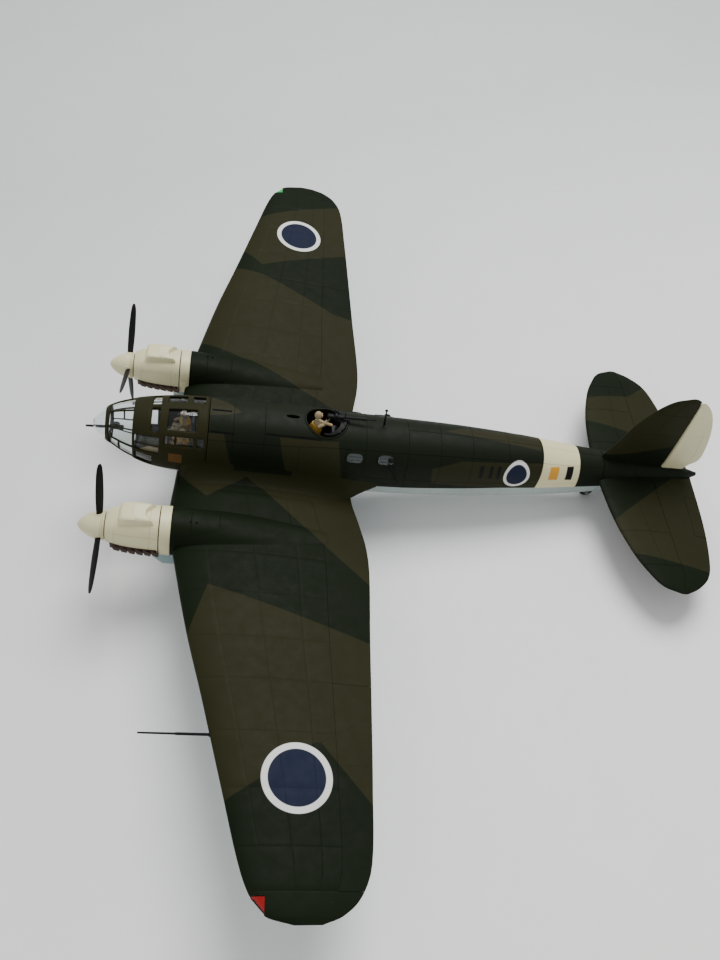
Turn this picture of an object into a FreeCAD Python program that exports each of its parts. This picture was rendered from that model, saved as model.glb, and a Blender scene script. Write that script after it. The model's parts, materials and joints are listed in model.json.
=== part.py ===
"""Display model of a twin-engined bomber, standing on its wheels.

Every piece is drawn in the aircraft's own axes: X runs aft from the nose, Y to starboard and
Z up, with Z = 0 on the propeller shafts. The finished model is then pitched nose-up onto its
three wheels and moved so that the middle of its footprint is the origin.
"""
import FreeCAD
import Part

import math
import os

# ---- driving dimensions, millimetres and degrees ----
GROUND_ANGLE = 7.5
SHELL = 1.2
FRAME_SKIN = 0.6
GLASS_SKIN = 0.5

FUSELAGE_SHAPE = 2.2
# x, half width, belly height, roof height
STATIONS = (
    (0.4, 1.4, 6.0, 8.8),
    (2.0, 3.6, 4.2, 10.6),
    (6.0, 6.1, 1.1, 14.9),
    (12.0, 8.8, -3.0, 17.2),
    (20.0, 11.0, -6.3, 18.8),
    (30.0, 12.1, -7.9, 20.0),
    (44.0, 12.5, -8.7, 20.4),
    (70.0, 12.8, -10.2, 20.1),
    (100.0, 12.8, -10.6, 19.0),
    (130.0, 12.1, -9.4, 18.4),
    (155.0, 10.5, -6.9, 17.1),
    (170.0, 9.1, -5.2, 15.7),
    (186.0, 7.3, -2.8, 14.3),
    (200.0, 5.6, -0.4, 13.2),
    (212.0, 4.0, 2.4, 12.2),
    (222.0, 2.3, 5.4, 11.0),
    (227.4, 0.6, 8.2, 9.8),
)
CONE_REAR = 5.2
NOSE_REAR = 39.5
TAIL_FRONT = 186.5
DECK_HEIGHT = 16.9
DECK_SLOPE = -0.0188

ENGINE_Y = 37.4
# x, half width, bottom, top of one engine cowling and the nacelle behind it
COWL_STATIONS = (
    (9.7, 5.0, -4.9, 5.0),
    (12.0, 5.8, -6.0, 5.9),
    (17.0, 6.7, -8.0, 6.9),
    (24.0, 7.2, -9.2, 7.4),
    (34.0, 7.4, -9.8, 7.6),
    (50.0, 7.2, -10.2, 6.6),
    (68.0, 5.6, -8.6, 2.4),
    (82.0, 3.2, -5.8, -0.2),
    (90.0, 1.0, -3.4, -2.0),
)
COWL_SHAPE = 2.4
COWL_REAR = 26.8
RING_REAR = 30.4

# span station, leading edge, trailing edge, thickness above and below the chord over the chord
WING_STATIONS = (
    (8.0, 29.6, 94.0, 0.080, 0.050),
    (15.0, 29.3, 92.2, 0.080, 0.050),
    (27.0, 28.8, 94.4, 0.078, 0.048),
    (38.0, 30.0, 96.4, 0.075, 0.046),
    (49.0, 32.2, 96.8, 0.072, 0.045),
    (75.0, 38.2, 95.2, 0.067, 0.042),
    (97.0, 44.3, 94.0, 0.063, 0.040),
    (124.0, 51.5, 92.4, 0.057, 0.037),
    (143.5, 56.8, 90.7, 0.053, 0.035),
    (151.0, 60.0, 87.4, 0.051, 0.034),
    (155.2, 63.9, 82.5, 0.048, 0.032),
    (157.0, 70.5, 77.5, 0.040, 0.028),
)
# the coloured lens at each wing tip lies outboard of one line and ahead of the other
LENS_SPAN = 150.4
LENS_REAR = 63.3
WING_Z = -5.7
WING_DIHEDRAL = 0.103

# span station, leading edge, trailing edge
TAIL_STATIONS = (
    (1.0, 185.0, 225.3),
    (24.0, 187.4, 223.6),
    (39.4, 191.5, 221.0),
    (47.6, 195.6, 218.0),
    (52.6, 199.6, 212.6),
    (55.0, 205.4, 207.6),
)
TAIL_Z = 8.1
TAIL_THICKNESS = 0.045
# height, leading edge, trailing edge of fin and rudder together
FIN_STATIONS = (
    (8.0, 184.5, 219.0),
    (14.0, 186.0, 222.0),
    (16.6, 186.6, 224.5),
    (24.0, 189.0, 223.7),
    (33.2, 191.5, 221.0),
    (41.5, 196.0, 216.8),
    (46.1, 200.4, 212.4),
    (48.3, 206.0, 207.6),
)
FIN_THICKNESS = 0.045
HINGE_FOOT_X = 211.3
HINGE_LEAN = -0.033

TAIL_END = STATIONS[-1][0]

HUB_X = 7.6
PROP_RADIUS = 23.4
SHAFT_RADIUS = 1.0
SHAFT_CLEARANCE = 0.05
SPINNER_RADIUS = 4.7
SPINNER_LENGTH = 7.9
BLADE_X = 7.5
BLADE_ANGLE_PORT = 101.5
BLADE_ANGLE_STARBOARD = 70.5

AXLE_X = 42.0
AXLE_Z = -20.1
WHEEL_RADIUS = 7.9
WHEEL_WIDTH = 5.6
RIM_RADIUS = 4.6
LEG_OFFSET = 4.4
TAIL_AXLE_X = 188.0
TAIL_WHEEL_RADIUS = 2.9

OPENING_X = 80.1
OPENING_LENGTH = 14.4
OPENING_WIDTH = 13.0
GUN_PIVOT = (84.5, 0.6, 21.4)
GUN_TIP_X = 97.4

SOCKET_X = 72.0
SOCKET_RADIUS = 2.0
SOCKET_DEPTH = 6.4
BELLY_HOLE_GAP = 0.5
GONDOLA_FRONT = 44.0
GONDOLA_REAR = 98.0
GONDOLA_BOTTOM = -17.0
# x and belly height of the screws that hold the fuselage together
SCREW_PLACES = ((112.0, -10.3), (146.0, -7.9))

GROUND_SLOPE = math.tan(math.radians(GROUND_ANGLE))
GROUND_COS = math.cos(math.radians(GROUND_ANGLE))
RADIUS_STEP = (WHEEL_RADIUS - TAIL_WHEEL_RADIUS) / GROUND_COS
TAIL_AXLE_Z = AXLE_Z + (TAIL_AXLE_X - AXLE_X) * GROUND_SLOPE - RADIUS_STEP

AFT = FreeCAD.Vector(1, 0, 0)
STARBOARD = FreeCAD.Vector(0, 1, 0)
UP = FreeCAD.Vector(0, 0, 1)

NODES = {}


# ---- helpers ----
def vec(x, y, z):
    return FreeCAD.Vector(x, y, z)


def box(x0, x1, y0, y1, z0, z1):
    return Part.makeBox(x1 - x0, y1 - y0, z1 - z0, vec(x0, y0, z0))


def rod(start, end, radius):
    """A round bar between two points."""
    a = vec(*start)
    run = vec(*end) - a
    return Part.makeCylinder(radius, run.Length, a, run)


def oval(x, half_width, bottom, top, power, centre_y=0.0, count=24):
    """A smooth closed ring across the X axis, from round (power 2) towards square."""
    points = []
    for i in range(count):
        angle = 2 * math.pi * i / count
        c = math.cos(angle)
        s = math.sin(angle)
        across = math.copysign(abs(c) ** (2 / power), c)
        height = math.copysign(abs(s) ** (2 / power), s)
        y = centre_y + half_width * across
        z = (top + bottom) / 2 + (top - bottom) / 2 * height
        points.append(vec(x, y, z))
    curve = Part.BSplineCurve()
    curve.interpolate(Points=points, PeriodicFlag=True)
    return Part.Wire(curve.toShape())


LOFTS = {}


def whole_loft(stations, power, inset, centre_y):
    """The whole smooth body through its stations, taken in from the outer skin by inset."""
    key = (power, inset, centre_y)
    if key not in LOFTS:
        rings = []
        for x, half, bottom, top in stations:
            if half - inset > 0.4:
                rings.append(oval(x, half - inset, bottom + inset, top - inset, power, centre_y))
        LOFTS[key] = Part.makeLoft(rings, True, False)
    return LOFTS[key]


def fuselage(x0, x1, inset=0.0):
    return whole_loft(STATIONS, FUSELAGE_SHAPE, inset, 0.0).common(box(x0, x1, -30, 30, -30, 40))


def nacelle(side, x0, x1, inset=0.0):
    y = side * ENGINE_Y
    body = whole_loft(COWL_STATIONS, COWL_SHAPE, inset, y)
    return body.common(box(x0, x1, y - 20, y + 20, -30, 30))


def thickness_at(share):
    """Height of a wing section at a share of its chord, 1 at its thickest."""
    root = 0.2969 * math.sqrt(share)
    rest = -0.126 * share - 0.3516 * share ** 2 + 0.2843 * share ** 3 - 0.1036 * share ** 4
    return 10 * (root + rest)


def half_section(place, front, rear, height, count=9):
    """One side of a wing section, closed by its chord line. place(x, h) gives the 3-D point."""
    chord = rear - front
    points = []
    for i in range(count):
        share = (1 - math.cos(math.pi * i / (count - 1))) / 2
        points.append(place(front + share * chord, height * chord * thickness_at(share)))
    curve = Part.BSplineCurve()
    curve.interpolate(Points=points)
    return Part.Wire([curve.toShape(), Part.LineSegment(points[-1], points[0]).toShape()])


def wing_half(side, upper):
    rings = []
    for span, front, rear, above, below in WING_STATIONS:
        z = WING_Z + WING_DIHEDRAL * span
        scale = above if upper else -below

        def place(x, h, y=side * span, base=z):
            return vec(x, y, base + h)

        rings.append(half_section(place, front, rear, scale))
    return Part.makeLoft(rings, True, True)


def tail_surface(stations, thickness, place_at):
    """A thin two-sided surface through span stations, as one solid."""
    halves = []
    for sign in (1, -1):
        rings = []
        for span, front, rear in stations:

            def place(x, h, s=span):
                return place_at(s, x, h)

            rings.append(half_section(place, front, rear, sign * thickness))
        halves.append(Part.makeLoft(rings, True, True))
    return halves[0].fuse(halves[1]).removeSplitter()


def sector(x0, x1, angle0, angle1, centre_z=6.0, reach=40.0):
    """A wedge about the cockpit's axis. Angles run from the roof, positive to starboard."""
    corners = [vec(x0, 0, centre_z)]
    for angle in (angle0, (angle0 + angle1) / 2, angle1):
        a = math.radians(angle)
        corners.append(vec(x0, reach * math.sin(a), centre_z + reach * math.cos(a)))
    corners.append(corners[0])
    return Part.Face(Part.makePolygon(corners)).extrude(vec(x1 - x0, 0, 0))


def oval_prism(x, y, length, width, z0, z1):
    """An upright oval column."""
    ellipse = Part.Ellipse(vec(x, y, z0), length / 2, width / 2)
    return Part.Face(Part.Wire(ellipse.toShape())).extrude(vec(0, 0, z1 - z0))


def ball(x, y, z, radius):
    return Part.makeSphere(radius, vec(x, y, z))


def add_piece(node, shape):
    """Add one more separate solid to a node that holds a group of alike pieces."""
    pieces = NODES[node].Solids if node in NODES else []
    NODES[node] = Part.makeCompound([*pieces, *shape.Solids])


# ---- fuselage ----
def make_fuselage():
    hull = fuselage(NOSE_REAR, TAIL_END)
    hollow = fuselage(NOSE_REAR + 1.5, 200.0, SHELL)
    skin = hull.cut(hollow)
    drop = 190.0 * DECK_SLOPE
    corners = [
        vec(0, -20, DECK_HEIGHT - DECK_SLOPE * 40),
        vec(190, -20, DECK_HEIGHT - DECK_SLOPE * 40 + drop),
        vec(190, -20, 30),
        vec(0, -20, 30),
    ]
    corners.append(corners[0])
    above = Part.Face(Part.makePolygon(corners)).extrude(vec(0, 40, 0))
    above = above.common(box(0, TAIL_FRONT, -20, 20, 0, 30))
    opening = oval_prism(OPENING_X, 0, OPENING_LENGTH, OPENING_WIDTH, 12, 24)
    slot = oval_prism(68.2, 0, 4.8, 1.6, 12, 24)
    NODES["dorsal_deck"] = skin.common(above).cut(opening).cut(slot)

    lower = skin.cut(above).cut(opening)
    screws = []
    for x, z in SCREW_PLACES:
        boss = rod((x, 0, z - 1.0), (x, 0, z + 5.5), 2.0).common(hull)
        lower = lower.fuse(boss)
        lower = lower.cut(rod((x, 0, z - 3.0), (x, 0, z + 1.4), 1.15))
        lower = lower.cut(rod((x, 0, z), (x, 0, z + 5.0), 0.6))
        head = rod((x, 0, z + 0.6), (x, 0, z + 1.4), 1.1)
        screws.append(head.fuse(rod((x, 0, z + 1.4), (x, 0, z + 4.6), 0.6)).removeSplitter())
    NODES["belly_screws"] = Part.makeCompound(screws)
    tail = lower.common(box(TAIL_FRONT, 240, -20, 20, -20, 40))
    NODES["tail_cone"] = tail
    NODES["fuselage_shell"] = lower.cut(box(TAIL_FRONT, 240, -20, 20, -20, 40))

    rim_size = (OPENING_LENGTH + 2.0, OPENING_WIDTH + 2.0)
    rim = oval_prism(OPENING_X, 0, *rim_size, 12, 24).cut(opening)
    swell = fuselage(60, 100, -0.7).cut(fuselage(58, 102))
    NODES["dorsal_coaming"] = swell.common(rim)


def make_gondola(hull):
    rings = []
    for x, half, bottom in (
        (GONDOLA_FRONT, 3.2, -10.5),
        (50.0, 5.4, -14.8),
        (60.0, 6.2, GONDOLA_BOTTOM),
        (86.0, 6.2, GONDOLA_BOTTOM),
        (GONDOLA_REAR, 4.6, -13.2),
    ):
        rings.append(oval(x, half, bottom, -4.0, 3.0))
    body = Part.makeLoft(rings, True, False).cut(hull)
    mouth = (SOCKET_X, 0, GONDOLA_BOTTOM - 3)
    top = (SOCKET_X, 0, GONDOLA_BOTTOM + SOCKET_DEPTH + 4)
    body = body.cut(rod(mouth, top, SOCKET_RADIUS))
    NODES["fuselage_shell"] = NODES["fuselage_shell"].cut(rod(mouth, top, SOCKET_RADIUS + BELLY_HOLE_GAP))
    NODES["ventral_gondola"] = body
    muzzle = (GONDOLA_REAR + 7, 0, -13.4)
    add_piece("gun_barrels", rod((GONDOLA_REAR - 1, 0, -11.6), muzzle, 0.45).cut(body))


def make_nose():
    outer = fuselage(CONE_REAR, NOSE_REAR)
    middle = fuselage(CONE_REAR, NOSE_REAR, FRAME_SKIN)
    inner = fuselage(CONE_REAR, NOSE_REAR, FRAME_SKIN + GLASS_SKIN)
    frame = outer.cut(middle)
    panes = []
    for start in range(0, 360, 36):
        panes.append((6.4, 14.0, start + 2.5, start + 33.5))
    for side in (1, -1):
        for low, high in ((40, 78), (81, 112), (115, 148)):
            panes.append((15.0, 23.6, side * low, side * high))
        panes.append((20.8, 23.6, side * 3, side * 37))
        for x0, x1 in ((25.0, 29.0), (29.8, 33.8), (34.6, 38.2)):
            panes.append((x0, x1, side * 51, side * 66))
    panes.append((26.0, 36.0, -3, -42))
    panes.append((25.2, 31.0, 8, 24))
    panes.append((32.2, 37.6, 8, 24))
    for x0, x1, a0, a1 in panes:
        frame = frame.cut(sector(x0, x1, min(a0, a1), max(a0, a1)))
    NODES["nose_frame"] = frame
    NODES["nose_glazing"] = middle.cut(inner)

    cone = fuselage(0.4, CONE_REAR)
    core = fuselage(1.2, CONE_REAR, GLASS_SKIN)
    gun = rod((-2.2, -0.6, 6.4), (9.0, -0.6, 7.0), 0.5)
    NODES["nose_cone_glazing"] = cone.cut(core).cut(gun)
    NODES["nose_gun"] = gun


def figure(x, y, z, lean, height=9.5):
    """A seated crew member: body, head, thighs and arms reaching forward."""
    hip = vec(x, y, z)
    body = Part.makeCone(2.0, 1.7, height * 0.5, hip, UP)
    head = ball(x - lean, y, z + height * 0.5 + 1.9, 1.45)
    neck = rod((x - lean * 0.5, y, z + height * 0.45), (x - lean, y, z + height * 0.5 + 1.2), 0.8)
    person = body.fuse(head).fuse(neck)
    for side in (-1, 1):
        person = person.fuse(rod((x, y + side * 0.9, z + 0.9), (x - 4.6, y + side * 1.1, z + 1.4), 0.9))
        shoulder = (x, y + side * 1.5, z + height * 0.42)
        person = person.fuse(rod(shoulder, (x - 3.6, y + side * 1.2, z + height * 0.36), 0.6))
    return person


def make_cockpit():
    room = fuselage(CONE_REAR, NOSE_REAR, FRAME_SKIN + GLASS_SKIN + 0.05)
    floor = box(14.0, 38.4, -14, 14, -1.6, -0.8)
    floor = floor.fuse(box(24.8, 25.6, -9, -1, -0.8, 8.0))
    NODES["cockpit_floor"] = floor.common(room)
    NODES["cockpit_bulkhead"] = room.common(box(38.4, NOSE_REAR, -20, 20, -20, 30))
    seats = []
    for y in (-4.4, 4.4):
        pan = box(28.6, 34.4, y - 2.6, y + 2.6, 1.6, 2.6)
        back = box(33.6, 34.4, y - 2.6, y + 2.6, 2.6, 10.0)
        post = box(30.6, 32.6, y - 1.0, y + 1.0, -0.8, 1.6)
        seats.append(pan.fuse(back).fuse(post).removeSplitter())
    NODES["crew_seats"] = Part.makeCompound(seats)
    for y in (-4.4, 4.4):
        add_piece("cockpit_crew", figure(31.5, y, 2.6, 0.6))


def make_dorsal_station():
    x = OPENING_X - 3.6
    floor_z = -2.0
    px, py, pz = GUN_PIVOT
    stand = box(71.0, 90.0, -13.0, 13.0, floor_z - 0.9, floor_z)
    stand = stand.common(fuselage(60, 100, SHELL + 0.05))
    stand = stand.fuse(box(px - 1.8, px + 1.8, py - 1.8, py + 1.8, floor_z, 15.0))
    NODES["gun_pedestal"] = stand.fuse(rod((px, py, 14.9), (px, py, 19.6), 0.9)).removeSplitter()
    body = Part.makeCone(2.9, 2.3, 8.0, vec(x, -1.4, 11.4), UP)
    legs = rod((x, -1.4, floor_z), (x, -1.4, 12.0), 2.6)
    head = ball(x, 0.2, 21.6, 1.75)
    neck = rod((x, -0.8, 18.6), (x, 0.2, 21.0), 1.0)
    NODES["dorsal_gunner_figure"] = legs.fuse(body).fuse(neck).fuse(head).removeSplitter()
    barrel = rod((px - 3.0, py, pz), (GUN_TIP_X, py, pz + 0.2), 0.5)
    breech = box(px - 3.4, px + 1.6, py - 0.8, py + 0.8, pz - 0.8, pz + 1.0)
    drum = rod((px - 1.4, py - 1.8, pz + 1.2), (px - 1.4, py + 1.8, pz + 1.2), 1.2)
    socket = rod((px, py, 18.0), (px, py, pz - 0.6), 1.4)
    socket = socket.cut(rod((px, py, 17.0), (px, py, 19.8), 0.9 + SHAFT_CLEARANCE))
    NODES["dorsal_gun"] = barrel.fuse(breech).fuse(drum).fuse(socket).removeSplitter()


def make_beam_stations(hull):
    swell = fuselage(84, 110, -0.6).cut(hull)
    windows = []
    for side in (-1, 1):
        for x in (90.9, 102.0):
            pane = box(x - 3.2, x + 3.2, min(side * 7, side * 16), max(side * 7, side * 16), 11.3, 14.9)
            windows.append(swell.common(pane))
        gun = rod((101.4, side * 10.0, 13.6), (107.4, side * 16.0, 7.3), 0.45)
        add_piece("gun_barrels", gun.cut(fuselage(84, 110, -0.6)))
    NODES["beam_windows"] = Part.makeCompound(windows)
    mast = rod((100.9, 1.0, 17.6), (100.2, 1.0, 26.6), 0.35).fuse(ball(100.2, 1.0, 26.6, 0.7))
    NODES["aerial_mast"] = mast.cut(hull).removeSplitter()


# ---- wings and tail ----
def make_wings(hull):
    for side, name in ((-1, "port"), (1, "starboard")):
        inner = side * LENS_SPAN
        outer = side * LENS_SPAN * 1.1
        tip = box(50, LENS_REAR, min(inner, outer), max(inner, outer), 5, 15)
        parts = []
        for upper, half_name in ((True, "upper"), (False, "lower")):
            half = wing_half(side, upper).cut(hull)
            parts.append(half.common(tip))
            NODES["wing_%s_%s" % (name, half_name)] = half.cut(tip)
        NODES["nav_light_" + name] = parts[0].fuse(parts[1]).removeSplitter()
    tube = rod((28.0, -108.6, 5.4), (49.0, -108.6, 5.4), 0.4)
    NODES["pitot_tube"] = tube.cut(wing_half(-1, True)).cut(wing_half(-1, False))


def make_tail(hull):
    for side, name in ((-1, "port"), (1, "starboard")):

        def place_at(span, x, h, s=side):
            return vec(x, s * span, TAIL_Z + h)

        surface = tail_surface(TAIL_STATIONS, TAIL_THICKNESS, place_at)
        NODES["tailplane_" + name] = surface.cut(hull)

    def upright(span, x, h):
        return vec(x, h, span)

    whole = tail_surface(FIN_STATIONS, FIN_THICKNESS, upright).cut(hull)
    foot = vec(HINGE_FOOT_X, -5, 0)
    crown = vec(HINGE_FOOT_X + HINGE_LEAN * 60, -5, 60)
    corners = [foot, crown, vec(240, -5, 60), vec(240, -5, 0), foot]
    aft = Part.Face(Part.makePolygon(corners)).extrude(vec(0, 10, 0))
    NODES["fin"] = whole.cut(aft)
    NODES["rudder"] = whole.common(aft)


# ---- engines ----
def make_blade(radius):
    """One blade standing up from the shaft's axis, its face turned by its pitch."""
    rings = []
    for share, chord, pitch, thick in (
        (0.08, 1.8, 62, 1.3),
        (0.25, 2.4, 48, 0.9),
        (0.50, 3.0, 36, 0.7),
        (0.78, 2.7, 27, 0.5),
        (0.94, 1.8, 23, 0.4),
        (1.00, 0.8, 22, 0.3),
    ):
        a = math.radians(pitch)
        along = vec(math.sin(a), math.cos(a), 0) * (chord / 2)
        across = vec(math.cos(a), -math.sin(a), 0) * (thick / 2)
        centre = vec(BLADE_X, 0, radius * share)
        one = Part.Arc(centre - along, centre + across, centre + along).toShape()
        two = Part.Arc(centre + along, centre - across, centre - along).toShape()
        rings.append(Part.Wire([one, two]))
    return Part.makeLoft(rings, True, True)


def make_propeller(side, name, first_angle):
    y = side * ENGINE_Y
    hub = rod((HUB_X - 3.4, 0, 0), (HUB_X, 0, 0), 2.6)
    blade = make_blade(PROP_RADIUS)
    for i in range(3):
        turned = blade.copy()
        turned.rotate(vec(0, 0, 0), AFT, first_angle + 120 * i)
        hub = hub.fuse(turned)
    hub = hub.cut(rod((0, 0, 0), (HUB_X + 1, 0, 0), SHAFT_RADIUS))
    rings = []
    steps = 7
    for i in range(steps):
        share = (i + 0.35) / (steps - 0.65)
        x = HUB_X + 0.7 - SPINNER_LENGTH + SPINNER_LENGTH * share
        radius = SPINNER_RADIUS * (1 - (1 - share) ** 1.75) ** 0.85
        rings.append(Part.Wire(Part.makeCircle(radius, vec(x, 0, 0), AFT)))
    spinner = Part.makeLoft(rings, True, False)
    spinner = spinner.fuse(rod((HUB_X + 0.7, 0, 0), (HUB_X + 1.7, 0, 0), SPINNER_RADIUS + 0.15))
    shaft = rod((HUB_X - 2.4, 0, 0), (19.0, 0, 0), SHAFT_RADIUS)
    shaft = shaft.fuse(rod((15.3, 0, 0), (16.5, 0, 0), SHAFT_RADIUS + 0.9)).removeSplitter()
    spinner = spinner.cut(hub).cut(shaft).removeSplitter()
    for label, shape in (("propeller_", hub), ("spinner_", spinner), ("prop_shaft_", shaft)):
        shape.translate(vec(0, y, 0))
        NODES[label + name] = shape


def make_engine(side, name, wing):
    y = side * ENGINE_Y
    cowl = nacelle(side, 9.7, COWL_REAR).cut(nacelle(side, 15.0, COWL_REAR - 1.0, 1.0))
    cowl = cowl.cut(rod((9, y, 0), (15.1, y, 0), 2.2))
    bush = rod((9.7, y, 0), (15.0, y, 0), 2.2)
    bush = bush.cut(rod((9, y, 0), (16, y, 0), SHAFT_RADIUS + SHAFT_CLEARANCE))
    add_piece("prop_bushes", bush)
    ring = nacelle(side, COWL_REAR, RING_REAR, -0.12)
    NODES["cowl_ring_" + name] = ring.cut(wing)
    solid_cowl = nacelle(side, 9.7, COWL_REAR)
    scoop = Part.makeLoft([
        oval(14.0, 3.2, 4.0, 8.2, 3.2, y),
        oval(17.0, 3.5, 4.0, 8.9, 3.2, y),
        oval(21.0, 3.4, 4.0, 8.8, 3.2, y),
        oval(23.6, 2.9, 4.0, 7.7, 3.2, y),
    ], True, False)
    scoop = scoop.cut(box(13, 15.2, y - 2.2, y + 2.2, 7.0, 8.0))
    NODES["cowling_" + name] = cowl.fuse(scoop.cut(solid_cowl)).removeSplitter()

    for out in (-1, 1):
        plate = box(11.2, 26.4, min(y + out * 4, y + out * 7.4), max(y + out * 4, y + out * 7.4), -4.0, -1.8)
        for i in range(6):
            x = 12.4 + 2.5 * i
            start = (x, y + out * 5.4, -3.0)
            end = (x + 1.6, y + out * (7.9 + 0.06 * i), -3.4)
            plate = plate.fuse(rod(start, end, 0.85))
        add_piece("exhausts", plate.cut(solid_cowl).removeSplitter())

    rear = nacelle(side, RING_REAR, 90.0)
    well = box(37.5, 62.0, y - 5.3, y + 5.3, -14, -7.0)
    rear = rear.cut(wing).cut(well)
    solids = sorted(rear.Solids, key=lambda s: s.Volume)
    rear = Part.makeCompound(solids[-2:])
    NODES["nacelle_" + name] = rear

    bath = Part.makeLoft([
        oval(24.5, 3.6, -11.6, -6.0, 3.5, y),
        oval(28.0, 5.6, -14.0, -6.0, 3.5, y),
        oval(34.0, 5.2, -13.6, -6.0, 3.5, y),
        oval(36.8, 4.6, -11.8, -6.0, 3.5, y),
    ], True, False)
    bath = bath.cut(box(23, 26.0, y - 4.4, y + 4.4, -13.0, -9.5))
    block = nacelle(side, 9.7, 60.0).fuse(nacelle(side, COWL_REAR, RING_REAR, -0.12))
    add_piece("radiators", bath.cut(block))


# ---- undercarriage ----
def ring_about_y(profile, x, y, z):
    """A solid of revolution about an axis along Y. The profile is (y, radius) pairs."""
    points = [vec(x, y + a, z + r) for a, r in profile]
    points.append(points[0])
    face = Part.Face(Part.makePolygon(points))
    return face.revolve(vec(x, y, z), STARBOARD, 360)


def make_main_gear(side, name):
    y = side * ENGINE_Y
    axle = rod((AXLE_X, y - 5.6, AXLE_Z), (AXLE_X, y + 5.6, AXLE_Z), SHAFT_RADIUS)
    leg = box(AXLE_X + 1.0, AXLE_X + 3.4, y - 4.8, y + 4.8, -8.6, -7.0)
    for out in (-1, 1):
        leg_y = y + out * LEG_OFFSET
        top = (AXLE_X + 2.2, leg_y, -7.8)
        leg = leg.fuse(rod(top, (AXLE_X, leg_y, AXLE_Z), 0.75))
        leg = leg.fuse(rod(top, (AXLE_X + 0.9, leg_y, -14.0), 0.85))
        leg = leg.fuse(rod((AXLE_X, leg_y - 0.8, AXLE_Z), (AXLE_X, leg_y + 0.8, AXLE_Z), 1.6))
        leg = leg.fuse(rod((56.0, leg_y, -7.6), (AXLE_X + 0.9, leg_y, -14.4), 0.5))
    leg = leg.fuse(box(54.8, 57.0, y - 4.8, y + 4.8, -8.2, -7.0))
    leg = leg.cut(axle).removeSplitter()
    half = WHEEL_WIDTH / 2
    shoulder = 0.55 * half
    tyre = ring_about_y((
        (-half * 0.62, RIM_RADIUS),
        (-half, RIM_RADIUS + 0.9),
        (-half, WHEEL_RADIUS - 1.6),
        (-half * 0.8, WHEEL_RADIUS - 0.6),
        (-shoulder, WHEEL_RADIUS - 0.1),
        (0, WHEEL_RADIUS),
        (shoulder, WHEEL_RADIUS - 0.1),
        (half * 0.8, WHEEL_RADIUS - 0.6),
        (half, WHEEL_RADIUS - 1.6),
        (half, RIM_RADIUS + 0.9),
        (half * 0.62, RIM_RADIUS),
    ), AXLE_X, y, AXLE_Z)
    bore = SHAFT_RADIUS + SHAFT_CLEARANCE
    rim = ring_about_y((
        (-2.6, bore),
        (-2.6, 1.9),
        (-1.2, 2.6),
        (-1.2, 4.0),
        (-half * 0.62, RIM_RADIUS),
        (half * 0.62, RIM_RADIUS),
        (1.2, 4.0),
        (1.2, 2.6),
        (2.6, 1.9),
        (2.6, bore),
    ), AXLE_X, y, AXLE_Z)
    doors = []
    for out in (-1, 1):
        y0 = y + out * 5.5
        doors.append(box(38.0, 61.0, min(y0, y0 + out * 0.6), max(y0, y0 + out * 0.6), -16.0, -7.6))
    block = nacelle(side, RING_REAR, 90.0)
    for door in doors:
        add_piece("gear_doors", door.cut(block))
    NODES["gear_leg_" + name] = leg
    NODES["main_axle_" + name] = axle
    NODES["tyre_" + name] = tyre
    NODES["wheel_hub_" + name] = rim


def make_tail_gear(hull):
    x = TAIL_AXLE_X
    z = TAIL_AXLE_Z
    axle = rod((x, -1.9, z), (x, 1.9, z), 0.5)
    yoke = box(x - 4.4, x - 2.8, -1.75, 1.75, z + 2.2, z + 4.0).cut(hull)
    fork = sorted(yoke.Solids, key=lambda s: s.Volume)[-1]
    for side in (-1, 1):
        corners = [
            vec(x - 4.3, 0, z + 2.7),
            vec(x - 2.9, 0, z + 2.7),
            vec(x + 0.8, 0, z + 0.4),
            vec(x + 0.8, 0, z - 0.8),
            vec(x - 0.6, 0, z - 0.8),
            vec(x - 4.3, 0, z + 2.3),
        ]
        corners.append(corners[0])
        arm = Part.Face(Part.makePolygon(corners)).extrude(vec(0, 0.6, 0))
        arm.translate(vec(0, 1.15 if side > 0 else -1.75, 0))
        fork = fork.fuse(arm)
    fork = fork.cut(axle).removeSplitter()
    radius = TAIL_WHEEL_RADIUS
    wheel = ring_about_y((
        (-0.8, 0.5 + SHAFT_CLEARANCE),
        (-0.8, radius - 0.6),
        (-0.4, radius),
        (0.4, radius),
        (0.8, radius - 0.6),
        (0.8, 0.5 + SHAFT_CLEARANCE),
    ), x, 0, z)
    NODES["tail_fork"] = fork
    NODES["tail_axle"] = axle
    NODES["tail_wheel"] = wheel


def build():
    hull = fuselage(CONE_REAR, TAIL_END)
    make_fuselage()
    make_gondola(hull)
    make_nose()
    make_cockpit()
    make_dorsal_station()
    make_beam_stations(hull)
    make_wings(hull)
    make_tail(hull)
    for side, name, angle in ((-1, "port", BLADE_ANGLE_PORT), (1, "starboard", BLADE_ANGLE_STARBOARD)):
        wing = wing_half(side, True).fuse(wing_half(side, False))
        make_propeller(side, name, angle)
        make_engine(side, name, wing)
        make_main_gear(side, name)
    make_tail_gear(hull)


def stand_on_wheels():
    """Pitch every piece nose-up and put the footprint's middle at the origin."""
    whole = Part.makeCompound(list(NODES.values()))
    whole.rotate(vec(0, 0, 0), STARBOARD, GROUND_ANGLE)
    bounds = whole.BoundBox
    shift = vec(-(bounds.XMin + bounds.XMax) / 2, -(bounds.YMin + bounds.YMax) / 2, -bounds.ZMin)
    for shape in NODES.values():
        shape.rotate(vec(0, 0, 0), STARBOARD, GROUND_ANGLE)
        shape.translate(shift)


build()
stand_on_wheels()
os.makedirs("parts", exist_ok=True)
for node, shape in NODES.items():
    shape.exportStep("parts/%s.step" % node)
    print(node, len(shape.Solids), shape.isValid(), round(shape.Volume, 1))
print("nodes", len(NODES))
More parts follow.
